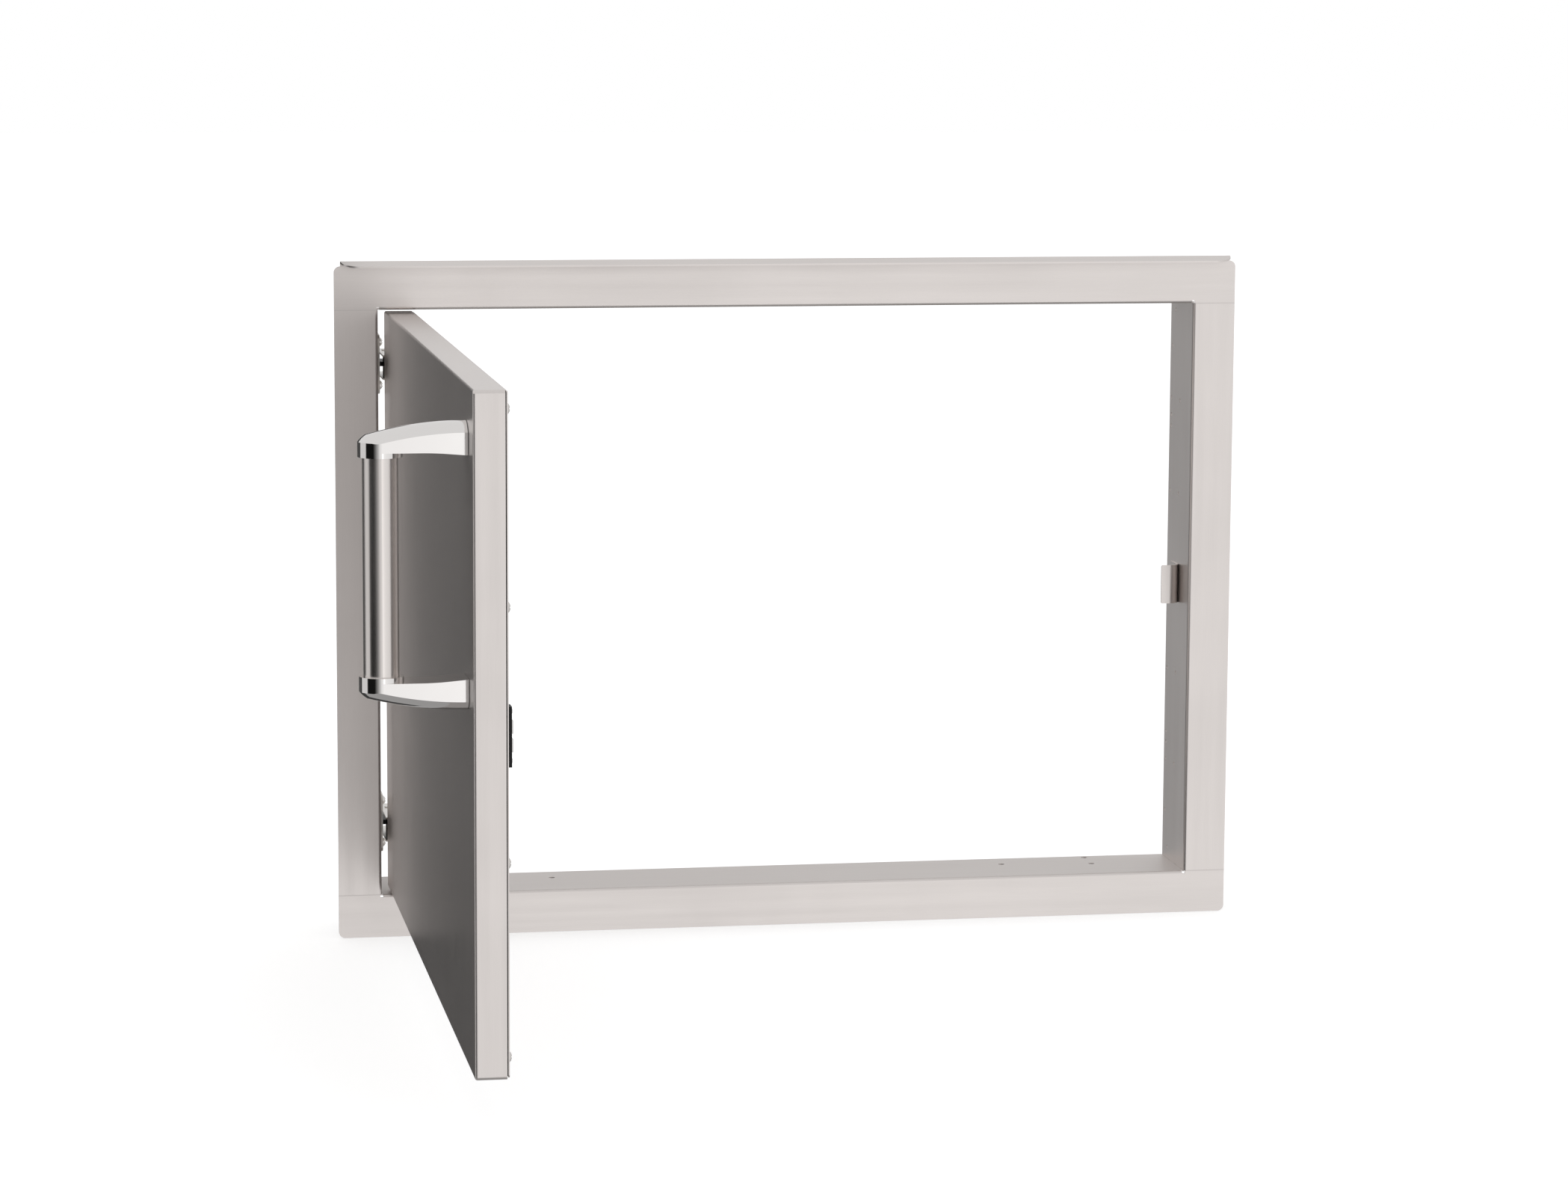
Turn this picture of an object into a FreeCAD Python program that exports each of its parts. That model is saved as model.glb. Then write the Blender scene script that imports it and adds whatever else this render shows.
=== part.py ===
import FreeCAD, Part
import math
import os

# A stainless steel access door for an outdoor kitchen island, standing open at a right angle.
# Millimetres. X to the right, Y into the wall, Z up. The origin is the middle of the opening,
# in the plane of the wall's face, which is the rear face of the front flange.
# Door pieces are drawn with the door shut, and opened() then swings them about the pivot.

V = FreeCAD.Vector

# Opening and frame
opening_width = 609.6
opening_height = 431.8
flange_width = 31.75
frame_sheet = 1.2
frame_depth = 66.3
frame_bend = 1.0
flange_corner = 4.5
stile_end_setback = 1.8
stile_lip_width = 12.0
stile_lip_end_inset = 27.7
relief_size = 2.2

# Drip lip along the top
lip_reach = 14.0
lip_slope = 13.0
lip_peak = 4.4
lip_end_inset = 4.6
lip_corner = 12.7

# Holes in the frame: depth behind the wall's face, with height or distance from the middle, or
# inset from the end of the opening
jamb_hole_radius = 1.65
jamb_row_front = 33.0
jamb_row_back = 58.0
jamb_pair_heights = (68.8, 139.5)
jamb_single_heights = (118.0, 126.5)
jamb_single_inset = 36.5
jamb_end_hole_depth = 49.5
jamb_end_hole_inset = 8.6
rail_hole_radius = 2.25
rail_pair_depths = (36.3, 60.0)
rail_pair_inset = 62.8
rail_single_depth = 43.5
rail_single_offset = 173.0

# Door shell
side_gap = 3.0
end_gap = 2.2
door_sheet = 1.0
pan_depth = 19.9
pan_bend = 1.6
pan_corner = 2.3
pan_lip_width = 16.0
seal_thickness = 0.8
seal_inset = 2.0
liner_sheet = 0.8
liner_inset = 1.0
liner_corner = 2.0
liner_screw_inset = 10.0
liner_screw_height = 79.5
liner_screw_end_inset = 12.4
liner_screw_head_radius = 4.2
liner_screw_head_height = 2.4
liner_screw_radius = 2.0
liner_screw_length = 9.0

# Pivot that the hinges give the door, from the jamb and from the front plane
pivot_from_jamb = 15.2
pivot_behind_front = 9.0
open_angle = 90.0

# Handle: heights of the upper arm are above the middle of the grip
handle_inset = 37.4
handle_height = 102.3
handle_standoff = 52.9
handle_tube_radius = 11.0
handle_tube_wall = 1.5
handle_tube_end_gap = 0.3
handle_boss_drop = 3.2
handle_socket_depth = 7.5
arm_half_width = 13.8
arm_inner_height = 70.9
arm_foot_drop = 1.7
arm_foot_thickness = 14.0
arm_rim_arc = 229.0
arm_rim_sweep = 30.0
arm_crown = 6.5
arm_dome_extra = 0.4
arm_inner_flare = 20.0
arm_underside_arc = 200.0
pad_thickness = 0.5
pad_margin = 0.4
handle_screw_rise = 7.5
handle_screw_radius = 3.0
handle_screw_bite = 12.0
handle_screw_end_room = 1.0
handle_screw_head_radius = 5.0
handle_screw_head_height = 4.0
handle_plate_thickness = 3.0
handle_plate_half_width = 20.0
handle_plate_margin = 21.0

# Hinges
hinge_inset = 44.1
plate_screw_spacing = 32.0
plate_screw_depth = 59.0
plate_screw_radius = 2.0
plate_screw_bite = 8.0
plate_head_radius = 3.7
plate_head_height = 2.9
plate_thickness = 5.5
plate_half_height = 22.0
plate_half_depth = 9.0
plate_corner = 4.0
rail_bar_half_thickness = 1.7
rail_bar_seat = 1.5
rail_bar_top = 17.5
rail_bar_front = 54.0
rail_bar_back = 80.0
channel_half_height = 9.1
channel_sheet = 1.2
channel_inner_fall = 1.26
channel_edge = 5.5
channel_top = 20.2
channel_back = 81.0
channel_shoulder = 42.0
channel_nose_back = 34.5
channel_nose_margin = 3.8
channel_front_clearance = 0.7
channel_corner = 3.0
clip_pin_place = (10.5, 66.0)
hinge_pin_radius = 1.5
hinge_pin_head_radius = 2.3
hinge_pin_head_height = 0.6
adjusting_screw_depths = (58.0, 74.0)
adjusting_screw_radius = 1.25
adjusting_screw_length = 9.0
adjusting_head_radius = 3.4
adjusting_head_height = 1.6

# Hinge cup in the door's back
cup_radius = 17.5
cup_depth = 11.5
cup_wall = 0.9
cup_edge = 5.0
cup_flange = 1.0
cup_flange_margin = 2.0
cup_wing_half_width = 6.0
cup_wing_corner = 5.5
cup_wing_margin = 6.0
cup_screw_spacing = 45.0
cup_screw_offset = 9.5
cup_screw_radius = 2.0
cup_screw_length = 5.5
cup_head_radius = 3.6
cup_head_height = 1.4
hinge_backing_thickness = 2.0
hinge_backing_depth = 35.0
hinge_backing_half_height = 25.4

# Hinge links: cup pin from the hinge edge and from the door's back, arm pin's distance from
# the pivot, and how far the link bows out round the door's edge
outer_cup_pin = (12.0, 2.5)
outer_arm_reach = 25.0
outer_bow = 7.5
outer_half_width = 1.6
outer_half_height = 3.6
inner_cup_pin = (13.0, 6.5)
inner_arm_reach = 31.0
inner_bow = 7.0
inner_half_width = 1.4
inner_cheek = 2.4
link_gap = 0.6
link_eye_margin = 1.4
cup_pin_radius = 1.2
cup_pin_eye = 2.0
lug_gap = 0.8
lug_thickness = 1.6
lug_wall = 1.2
swing_beyond_open = 15

# Magnetic catch and its strike
catch_rise = 0.6
catch_inset = 1.0
catch_width = 10.5
catch_half_height = 18.8
catch_proud = 2.0
catch_depth = 8.0
catch_box_half_height = 12.0
catch_wall = 1.2
pole_width = 6.5
pole_height = 8.1
pole_proud = 3.0
magnet_thickness = 3.4
magnet_recess = 1.5
catch_screw_height = 15.4
catch_screw_radius = 1.25
catch_screw_head_radius = 2.4
catch_screw_head_height = 1.0
catch_screw_length = 6.0
strike_sheet = 1.3
strike_bend = 6.7
strike_back = 52.0
strike_reach = 14.6
strike_half_height = 14.6
strike_corner = 1.1
strike_gap = 0.4

# Fits between pieces
running_clearance = 0.05
press_clearance = 0.02
hole_clearance = 0.2
door_clearance = 0.6
drift_clearance = 0.3

# How far cutting tools and joined blanks run past a face, and what counts as the same place
overrun = 1.0
nearly = 0.001

# Sizes that follow from those above
half_w = opening_width / 2
half_h = opening_height / 2
frame_half_w = half_w + flange_width
frame_top = half_h + flange_width
front = -frame_sheet
frame_back = front + frame_depth
door_width = opening_width - 2 * side_gap
door_half_h = half_h - end_gap
door_left = -half_w + side_gap
door_thickness = pan_depth + seal_thickness + liner_sheet
lip_start = pan_depth - door_sheet
cup_centre = cup_edge + cup_radius
cup_screw_place = cup_centre + cup_screw_offset
handle_place = door_width - handle_inset
pivot = V(-half_w + pivot_from_jamb, front + pivot_behind_front, 0)
strike_face = door_thickness + pole_proud + strike_gap
hinge_height = half_h - hinge_inset
rail_pair_offset = half_w - rail_pair_inset
handle_boss_start = arm_inner_height - handle_boss_drop
handle_tube_half_length = handle_boss_start + handle_socket_depth - handle_tube_end_gap
arm_inner_at_door = arm_inner_height - arm_foot_drop
arm_rim_height = arm_inner_at_door + arm_foot_thickness
arm_tip_rim = arm_rim_height - arm_rim_arc + math.sqrt(arm_rim_arc ** 2 - handle_standoff ** 2)
handle_screw_height = arm_inner_at_door + handle_screw_rise
handle_plate_half_height = handle_screw_height + handle_plate_margin


# Small shape makers

def box(x0, x1, y0, y1, z0, z1):
    """Box between two corners."""
    low = V(min(x0, x1), min(y0, y1), min(z0, z1))
    return Part.makeBox(abs(x1 - x0), abs(y1 - y0), abs(z1 - z0), low)


def rod(start, direction, radius, length):
    """Round bar from a point along a direction."""
    return Part.makeCylinder(radius, length, start, direction)


def bored(shape, start, direction, radius, depth):
    """Shape with a round hole that goes through from a face at the start point."""
    return shape.cut(rod(start - direction * overrun, direction, radius, depth + 2 * overrun))


def fused(shapes):
    """One solid from pieces that touch, without the seams between them."""
    whole = shapes[0].fuse(shapes[1:]) if len(shapes) > 1 else shapes[0]
    return whole.removeSplitter()


def rounded_wire(points, radii, place):
    """Closed wire through flat points, each corner rounded by its radius.
    place turns a flat (a, b) into a point in space."""
    count = len(points)
    starts = []
    ends = []
    middles = []
    for i in range(count):
        here = points[i]
        before = points[i - 1]
        after = points[(i + 1) % count]
        into = unit(here, before)
        out = unit(here, after)
        half = math.acos(max(-1.0, min(1.0, into[0] * out[0] + into[1] * out[1]))) / 2
        radius = radii[i]
        reach = radius / math.tan(half) if radius else 0.0
        starts.append((here[0] + into[0] * reach, here[1] + into[1] * reach))
        ends.append((here[0] + out[0] * reach, here[1] + out[1] * reach))
        bisector = unit((0, 0), (into[0] + out[0], into[1] + out[1])) if radius else (0, 0)
        depth = radius / math.sin(half) - radius if radius else 0.0
        middles.append((here[0] + bisector[0] * depth, here[1] + bisector[1] * depth))
    edges = []
    for i in range(count):
        if radii[i]:
            arc = Part.Arc(place(*starts[i]), place(*middles[i]), place(*ends[i]))
            edges.append(arc.toShape())
        nxt = (i + 1) % count
        a = place(*ends[i])
        b = place(*starts[nxt])
        if a.distanceToPoint(b) > nearly:
            edges.append(Part.LineSegment(a, b).toShape())
    return Part.Wire(edges)


def unit(a, b):
    """Unit direction from flat point a to flat point b."""
    length = math.hypot(b[0] - a[0], b[1] - a[1])
    return ((b[0] - a[0]) / length, (b[1] - a[1]) / length)


def prism(points, radii, place, run):
    """Solid of a rounded flat outline, carried along a straight run."""
    return Part.Face(rounded_wire(points, radii, place)).extrude(run)


def sheet_outline(path, thickness, bend):
    """Outline and corner radii of folded sheet. The path is one face of the sheet, and the
    metal lies to the right of it. The inside of each fold has the bend radius."""
    other = []
    radii = [0.0]
    other_radii = [0.0]
    for i, here in enumerate(path):
        first = unit(path[i - 1], here) if i else unit(here, path[1])
        second = unit(here, path[i + 1]) if i < len(path) - 1 else first
        normal = (first[1] + second[1], -first[0] - second[0])
        scale = thickness * 2 / (normal[0] ** 2 + normal[1] ** 2)
        other.append((here[0] + normal[0] * scale, here[1] + normal[1] * scale))
        if 0 < i < len(path) - 1:
            right_turn = first[0] * second[1] - first[1] * second[0] < 0
            radii.append(bend + thickness if right_turn else bend)
            other_radii.append(bend if right_turn else bend + thickness)
    radii.append(0.0)
    other_radii.append(0.0)
    return path + other[::-1], radii + other_radii[::-1]


def folded(path, thickness, bend, place, run):
    """Folded sheet of one section, carried along a straight run."""
    points, radii = sheet_outline(path, thickness, bend)
    return prism(points, radii, place, run)


def rounded_plate(a0, a1, b0, b1, radius, place, run):
    """Flat plate with four rounded corners."""
    corners = [(a0, b0), (a1, b0), (a1, b1), (a0, b1)]
    return prism(corners, [radius] * 4, place, run)


def dome_screw(seat, direction, head_radius, head_height, shank_radius, length):
    """Screw with a domed head standing on the seat, its shank going along the direction."""
    sphere_radius = (head_radius ** 2 + head_height ** 2) / (2 * head_height)
    centre = seat + direction * (sphere_radius - head_height)
    ball = Part.makeSphere(sphere_radius, centre)
    head = ball.common(rod(seat, direction * -1, head_radius + overrun, head_height + overrun))
    return fused([head, rod(seat, direction, shank_radius, length)])


def mirrored_up(shape, height=0.0):
    """Mirror image above and below a level."""
    return shape.mirror(V(0, 0, height), V(0, 0, 1))


def at(u, v, z=0.0):
    """Point beside the left jamb: u out from the jamb, v behind the front plane."""
    return V(-half_w + u, front + v, z)


def on_door(s, d, z=0.0):
    """Point on the shut door: s from the hinge edge, d behind the outer face."""
    return V(door_left + s, front + d, z)


def door_box(s0, s1, d0, d1, z0, z1):
    """Box on the shut door."""
    return box(door_left + s0, door_left + s1, front + d0, front + d1, z0, z1)


def opened(shape):
    """Swing a piece of the shut door to the stored, open position."""
    return shape.rotated(pivot, V(0, 0, 1), -open_angle)


parts = {}


def keep(name, *shapes):
    """Store a node of one or more separate solids."""
    parts[name] = Part.makeCompound(list(shapes)) if len(shapes) > 1 else shapes[0]


# Top and bottom rails

def rail(with_lip):
    """Full-width rail at the top: flange, return into the wall and, if asked, the drip lip."""
    corner = [(-frame_half_w, half_h), (frame_half_w, half_h),
              (frame_half_w, frame_top), (-frame_half_w, frame_top)]
    flange = prism(corner, [0, 0, flange_corner, flange_corner],
                   lambda a, b: V(a, front, b), V(0, frame_sheet, 0))
    fold = [(frame_back, half_h), (front, half_h), (front, frame_top - flange_corner)]
    strip = folded(fold, frame_sheet, frame_bend, lambda a, b: V(-half_w, a, b), V(opening_width, 0, 0))
    beyond = box(-half_w - overrun, half_w + overrun, front - overrun, frame_bend,
                 half_h - overrun, half_h + relief_size)
    pieces = [flange.cut(beyond), strip]
    if with_lip:
        pieces.append(drip_lip())
    body = fused(pieces)
    notches = [box(side * (half_w - relief_size / 2), side * (half_w + relief_size / 2),
                   front - overrun, frame_bend + relief_size / 2, half_h - overrun, half_h + relief_size)
               for side in (-1, 1)]
    for notch in notches:
        body = body.cut(notch)
    for x, y in rail_hole_places():
        body = bored(body, V(x, y, half_h), V(0, 0, 1), rail_hole_radius, frame_sheet)
    return body


def drip_lip():
    """Lip bent forward from the flange's top edge, sloping down to the front."""
    slope = math.tan(math.radians(lip_slope))
    peak = frame_top + lip_peak
    drop = frame_sheet / math.cos(math.radians(lip_slope))
    knee = peak + front * slope - drop
    nose = (front - lip_reach, peak + (front - lip_reach) * slope - drop)
    half_length = frame_half_w - lip_end_inset
    path = [(front, frame_top - flange_corner), (front, knee), nose]
    strip = folded(path, frame_sheet, frame_bend, lambda a, b: V(-half_length, a, b),
                   V(2 * half_length, 0, 0))
    reach = front - lip_reach
    plan = [(-half_length, 0), (-half_length, reach), (half_length, reach), (half_length, 0)]
    trim = prism(plan, [0, lip_corner, lip_corner, 0],
                 lambda a, b: V(a, b, half_h), V(0, 0, flange_width + 2 * lip_peak))
    return strip.common(trim)


def rail_hole_places():
    """Fixing holes in a rail's return."""
    places = []
    for side in (-1, 1):
        places.append((side * rail_single_offset, rail_single_depth))
        for depth in rail_pair_depths:
            places.append((side * rail_pair_offset, depth))
    return places


# Stiles

def stile():
    """Right stile: flange between the rails, jamb into the wall, and a lip behind."""
    jamb_end = frame_back - stile_end_setback
    place = lambda a, b: V(a, b, -half_h)
    path = [(frame_half_w, front), (half_w, front), (half_w, jamb_end)]
    face = folded(path, frame_sheet, frame_bend, place, V(0, 0, opening_height))
    jamb = box(half_w, half_w + frame_sheet, frame_bend + relief_size / 2, jamb_end,
               -half_h - frame_sheet, half_h + frame_sheet)
    lip_half = half_h - stile_lip_end_inset
    lip_path = [(half_w, jamb_end - stile_lip_width), (half_w, frame_back),
                (half_w + stile_lip_width, frame_back)]
    lip = folded(lip_path, frame_sheet, frame_bend, lambda a, b: V(a, b, -lip_half), V(0, 0, 2 * lip_half))
    body = fused([face, jamb, lip])
    for y, z in jamb_hole_places():
        body = bored(body, V(half_w, y, z), V(1, 0, 0), jamb_hole_radius, frame_sheet)
    return body


def jamb_hole_places():
    """Fixing holes in a jamb, mirrored about mid height."""
    places = []
    for side in (-1, 1):
        places.append((jamb_end_hole_depth, side * (half_h - jamb_end_hole_inset)))
        for height in jamb_pair_heights:
            places.append((jamb_row_front, side * height))
            places.append((jamb_row_back, side * height))
        for height in (*jamb_single_heights, half_h - jamb_single_inset):
            places.append((jamb_row_back, side * height))
    return places


def make_frame():
    """Welded surround: two rails, two stiles, and the strike for the catch."""
    keep("top_rail", rail(True))
    keep("bottom_rail", mirrored_up(rail(False)))
    right = stile()
    keep("right_stile", right)
    left = right.mirror(V(0, 0, 0), V(1, 0, 0))
    for side in (-1, 1):
        for end in (-1, 1):
            z = side * hinge_height + end * plate_screw_spacing / 2
            left = bored(left, at(0, plate_screw_depth, z), V(-1, 0, 0),
                         plate_screw_radius + press_clearance, frame_sheet)
    keep("left_stile", left)
    keep("strike_plate", strike())


def strike():
    """Angle bracket on the right jamb, whose tab the magnet holds."""
    tab = front + strike_face
    path = [(half_w, front + strike_back), (half_w, tab), (half_w - strike_reach, tab)]
    body = folded(path, strike_sheet, strike_bend,
                  lambda a, b: V(a, b, catch_rise - strike_half_height), V(0, 0, 2 * strike_half_height))
    corners = []
    for edge in body.Edges:
        mid = edge.CenterOfMass
        at_end = abs(abs(mid.z - catch_rise) - strike_half_height) < nearly
        tab_end = abs(mid.x - (half_w - strike_reach)) < nearly
        leaf_end = abs(mid.y - (front + strike_back)) < nearly
        if at_end and (tab_end or leaf_end):
            corners.append(edge)
    return body.makeFillet(strike_corner, corners)


# Door shell

def make_door_shell():
    """Outer pan, seal strip, liner and the screws that hold the liner on."""
    keep("door_skin", opened(pan()))
    keep("door_seal", opened(seal()))
    keep("door_liner", opened(liner()))
    screws = [opened(dome_screw(on_door(s, door_thickness, z), V(0, -1, 0), liner_screw_head_radius,
                                liner_screw_head_height, liner_screw_radius, liner_screw_length))
              for s, z in liner_screw_places()]
    keep("liner_screws", *screws)
    keep("hinge_backing_plates", opened(hinge_backing(1)), opened(hinge_backing(-1)))
    keep("handle_backing_plate", opened(handle_backing()))


def liner_screw_places():
    """Liner screws up both long sides of the door."""
    return [(s, side * height) for s in (liner_screw_inset, door_width - liner_screw_inset)
            for height in (liner_screw_height, door_half_h - liner_screw_end_inset) for side in (-1, 1)]


def pan():
    """Outer sheet with four edges folded back and a lip turned inwards behind them."""
    shell = rounded_plate(door_left, door_left + door_width, -door_half_h, door_half_h, pan_corner,
                          lambda a, b: V(a, front, b), V(0, pan_depth, 0))
    shell = shell.makeFillet(pan_bend, face_loop(shell, front))
    inner = rounded_plate(door_left + door_sheet, door_left + door_width - door_sheet,
                          -door_half_h + door_sheet, door_half_h - door_sheet, pan_corner - door_sheet,
                          lambda a, b: V(a, front + door_sheet, b), V(0, lip_start - door_sheet, 0))
    inner = inner.makeFillet(pan_bend - door_sheet, face_loop(inner, front + door_sheet))
    mouth = door_box(pan_lip_width, door_width - pan_lip_width, lip_start - overrun, pan_depth + overrun,
                     -door_half_h + pan_lip_width, door_half_h - pan_lip_width)
    shell = shell.cut(inner).cut(mouth)
    for tool in back_cutters(lip_start, pan_depth, hole_clearance):
        shell = shell.cut(tool)
    for s, z in liner_screw_places():
        shell = bored(shell, on_door(s, lip_start, z), V(0, 1, 0), liner_screw_radius + press_clearance,
                      door_sheet)
    for s, z in catch_screw_places():
        shell = bored(shell, on_door(s, lip_start, z), V(0, 1, 0), catch_screw_radius + press_clearance,
                      door_sheet)
    return cut_handle_holes(shell, 0, door_sheet)


def face_loop(shape, y):
    """Edges that bound the face in one plane across Y."""
    return [edge for edge in shape.Edges
            if abs(edge.BoundBox.YMin - y) < nearly and abs(edge.BoundBox.YMax - y) < nearly]


def back_cutters(d0, d1, clearance):
    """Tools that open one of the door's back layers for the hinge cups and the catch."""
    low = d0 - overrun
    high = d1 + overrun
    tools = []
    for side in (-1, 1):
        tools.append(rod(on_door(cup_centre, low, side * hinge_height), V(0, 1, 0),
                         cup_radius + clearance, high - low))
    s1 = door_width - catch_inset - (catch_width - catch_box_width()) / 2
    s0 = s1 - catch_box_width()
    tools.append(door_box(s0 - clearance, s1 + clearance, low, high,
                          catch_rise - catch_box_half_height - clearance,
                          catch_rise + catch_box_half_height + clearance))
    return tools


def catch_box_width():
    """Width of the part of the catch that sinks into the door."""
    return pole_width + 2 * catch_wall


def cut_handle_holes(shape, d0, d1):
    """Clearance holes for the two handle screws."""
    for side in (-1, 1):
        z = handle_height + side * handle_screw_height
        shape = bored(shape, on_door(handle_place, d0, z), V(0, 1, 0), handle_screw_radius + hole_clearance,
                      d1 - d0)
    return shape


def seal():
    """Thin dark strip between the pan's lip and the liner."""
    outer = door_box(seal_inset, door_width - seal_inset, pan_depth, pan_depth + seal_thickness,
                     -door_half_h + seal_inset, door_half_h - seal_inset)
    inset = pan_lip_width - liner_inset
    inner = door_box(inset, door_width - inset, pan_depth - overrun, pan_depth + seal_thickness + overrun,
                     -door_half_h + inset, door_half_h - inset)
    strip = outer.cut(inner)
    for tool in back_cutters(pan_depth, pan_depth + seal_thickness, hole_clearance):
        strip = strip.cut(tool)
    for s, z in liner_screw_places():
        strip = bored(strip, on_door(s, pan_depth, z), V(0, 1, 0), liner_screw_radius + hole_clearance,
                      seal_thickness)
    for s, z in catch_screw_places():
        strip = bored(strip, on_door(s, pan_depth, z), V(0, 1, 0), catch_screw_radius + hole_clearance,
                      seal_thickness)
    return strip


def liner():
    """Flat inner sheet of the door, pierced for the hinge cups, the catch and the screws."""
    inner_face = pan_depth + seal_thickness
    plate = rounded_plate(door_left + liner_inset, door_left + door_width - liner_inset,
                          -door_half_h + liner_inset, door_half_h - liner_inset, liner_corner,
                          lambda a, b: V(a, front + inner_face, b), V(0, liner_sheet, 0))
    for tool in back_cutters(inner_face, door_thickness, hole_clearance):
        plate = plate.cut(tool)
    for places, radius in ((liner_screw_places(), liner_screw_radius),
                           (cup_screw_places(), cup_screw_radius),
                           (catch_screw_places(), catch_screw_radius)):
        for s, z in places:
            plate = bored(plate, on_door(s, inner_face, z), V(0, 1, 0), radius + hole_clearance, liner_sheet)
    return plate


def cup_screw_places():
    """Screws of both hinge cups."""
    return [(cup_screw_place, side * hinge_height + end * cup_screw_spacing / 2)
            for side in (-1, 1) for end in (-1, 1)]


def catch_screw_places():
    """Screws of the catch."""
    middle = door_width - catch_inset - catch_width / 2
    return [(middle, catch_rise + end * catch_screw_height) for end in (-1, 1)]


def hinge_backing(side):
    """Plate behind the liner that the cup screws bite into."""
    back = pan_depth + seal_thickness
    start = pan_lip_width + liner_inset
    z = side * hinge_height
    plate = door_box(start, start + hinge_backing_depth, back - hinge_backing_thickness, back,
                     z - hinge_backing_half_height, z + hinge_backing_half_height)
    plate = bored(plate, on_door(cup_centre, back - hinge_backing_thickness, z), V(0, 1, 0),
                  cup_radius + hole_clearance, hinge_backing_thickness)
    for end in (-1, 1):
        hole = on_door(cup_screw_place, back - hinge_backing_thickness, z + end * cup_screw_spacing / 2)
        plate = bored(plate, hole, V(0, 1, 0), cup_screw_radius + press_clearance, hinge_backing_thickness)
    return plate


def handle_backing():
    """Stiff plate inside the pan that spreads the pull of the handle."""
    plate = door_box(handle_place - handle_plate_half_width, handle_place + handle_plate_half_width,
                     door_sheet, door_sheet + handle_plate_thickness,
                     handle_height - handle_plate_half_height, handle_height + handle_plate_half_height)
    return cut_handle_holes(plate, door_sheet, door_sheet + handle_plate_thickness)


# Handle

def make_handle():
    """Tubular grip in two bevelled arms, screwed on from inside the door."""
    upper = handle_arm()
    keep("handle_upper_arm", opened(upper))
    keep("handle_lower_arm", opened(mirrored_up(upper, handle_height)))
    low = on_door(handle_place, -handle_standoff, handle_height - handle_tube_half_length)
    length = 2 * handle_tube_half_length
    grip = rod(low, V(0, 0, 1), handle_tube_radius, length)
    grip = grip.cut(rod(low, V(0, 0, 1), handle_tube_radius - handle_tube_wall, length))
    keep("handle_tube", opened(grip))
    upper_pad = handle_pad()
    keep("handle_pads", opened(upper_pad), opened(mirrored_up(upper_pad, handle_height)))
    head_seat = door_sheet + handle_plate_thickness
    screws = []
    for side in (-1, 1):
        seat = on_door(handle_place, head_seat, handle_height + side * handle_screw_height)
        shank = rod(seat, V(0, -1, 0), handle_screw_radius, head_seat + pad_thickness + handle_screw_bite)
        head = rod(seat, V(0, 1, 0), handle_screw_head_radius, handle_screw_head_height)
        screws.append(opened(fused([head, shank])))
    keep("handle_screws", *screws)


def handle_arm():
    """Upper arm: a bar that follows a shallow arc, crowned on its outer side."""
    centre_z = handle_height + arm_rim_height - arm_rim_arc
    inside = arm_rim_arc - (arm_rim_height - handle_boss_start) - handle_standoff
    x = door_left + handle_place
    section = crowned_face(arm_half_width, inside, arm_rim_arc, arm_rim_arc + arm_crown,
                           lambda a, b: V(x + a, front, centre_z + b))
    bar = section.revolve(V(x, front, centre_z), V(1, 0, 0), arm_rim_sweep)
    tip = front - handle_standoff
    bar = bar.common(arm_outline(x, tip)).cut(arm_underside(x))
    boss = rod(V(x, tip, handle_height + handle_boss_start), V(0, 0, 1), arm_half_width,
               handle_boss_drop + overrun)
    body = fused([bar, boss])
    socket = rod(V(x, tip, handle_height + handle_boss_start - overrun), V(0, 0, 1),
                 handle_tube_radius + running_clearance, handle_socket_depth + overrun)
    thread = rod(V(x, front, handle_height + handle_screw_height), V(0, -1, 0),
                 handle_screw_radius + press_clearance,
                 pad_thickness + handle_screw_bite + handle_screw_end_room)
    return body.cut(socket).cut(thread)


def arm_outline(x, tip):
    """Space that the arm fills: straight from its pad to the grip's axis, then a domed round end."""
    rim = handle_height + arm_tip_rim
    top = arm_rim_height + 2 * arm_crown
    behind = box(x - 2 * arm_half_width, x + 2 * arm_half_width, tip, front - pad_thickness,
                 handle_height, handle_height + top)
    post = rod(V(x, tip, handle_height), V(0, 0, 1), arm_half_width, arm_tip_rim)
    dome_height = arm_crown + arm_dome_extra
    dome_radius = (arm_half_width ** 2 + dome_height ** 2) / (2 * dome_height)
    ball = Part.makeSphere(dome_radius, V(x, tip, rim + dome_height - dome_radius))
    dome = ball.common(rod(V(x, tip, rim), V(0, 0, 1), arm_half_width, 2 * arm_crown))
    return fused([behind, fused([post, dome])])


def crowned_face(half_width, low, rim, top, place):
    """Flat outline with three straight sides and an arched top."""
    left_rim, right_rim = place(-half_width, rim), place(half_width, rim)
    left_low, right_low = place(-half_width, low), place(half_width, low)
    sides = Part.makePolygon([left_rim, left_low, right_low, right_rim])
    arch = Part.Arc(right_rim, place(0, top), left_rim).toShape()
    return Part.Face(Part.Wire([*sides.Edges, arch]))


def arm_underside(x):
    """Space under the arm: level, with a flare down to the door."""
    base = front - pad_thickness
    flat = handle_height + arm_inner_height
    low = handle_height
    outline = [(base + overrun, low), (base + overrun, handle_height + arm_inner_at_door),
               (base, handle_height + arm_inner_at_door), (base - arm_inner_flare, flat),
               (front - 2 * handle_standoff, flat), (front - 2 * handle_standoff, low)]
    radii = [0, 0, 0, arm_underside_arc, 0, 0]
    return prism(outline, radii, lambda a, b: V(x - 2 * arm_half_width, a, b), V(4 * arm_half_width, 0, 0))


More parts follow.
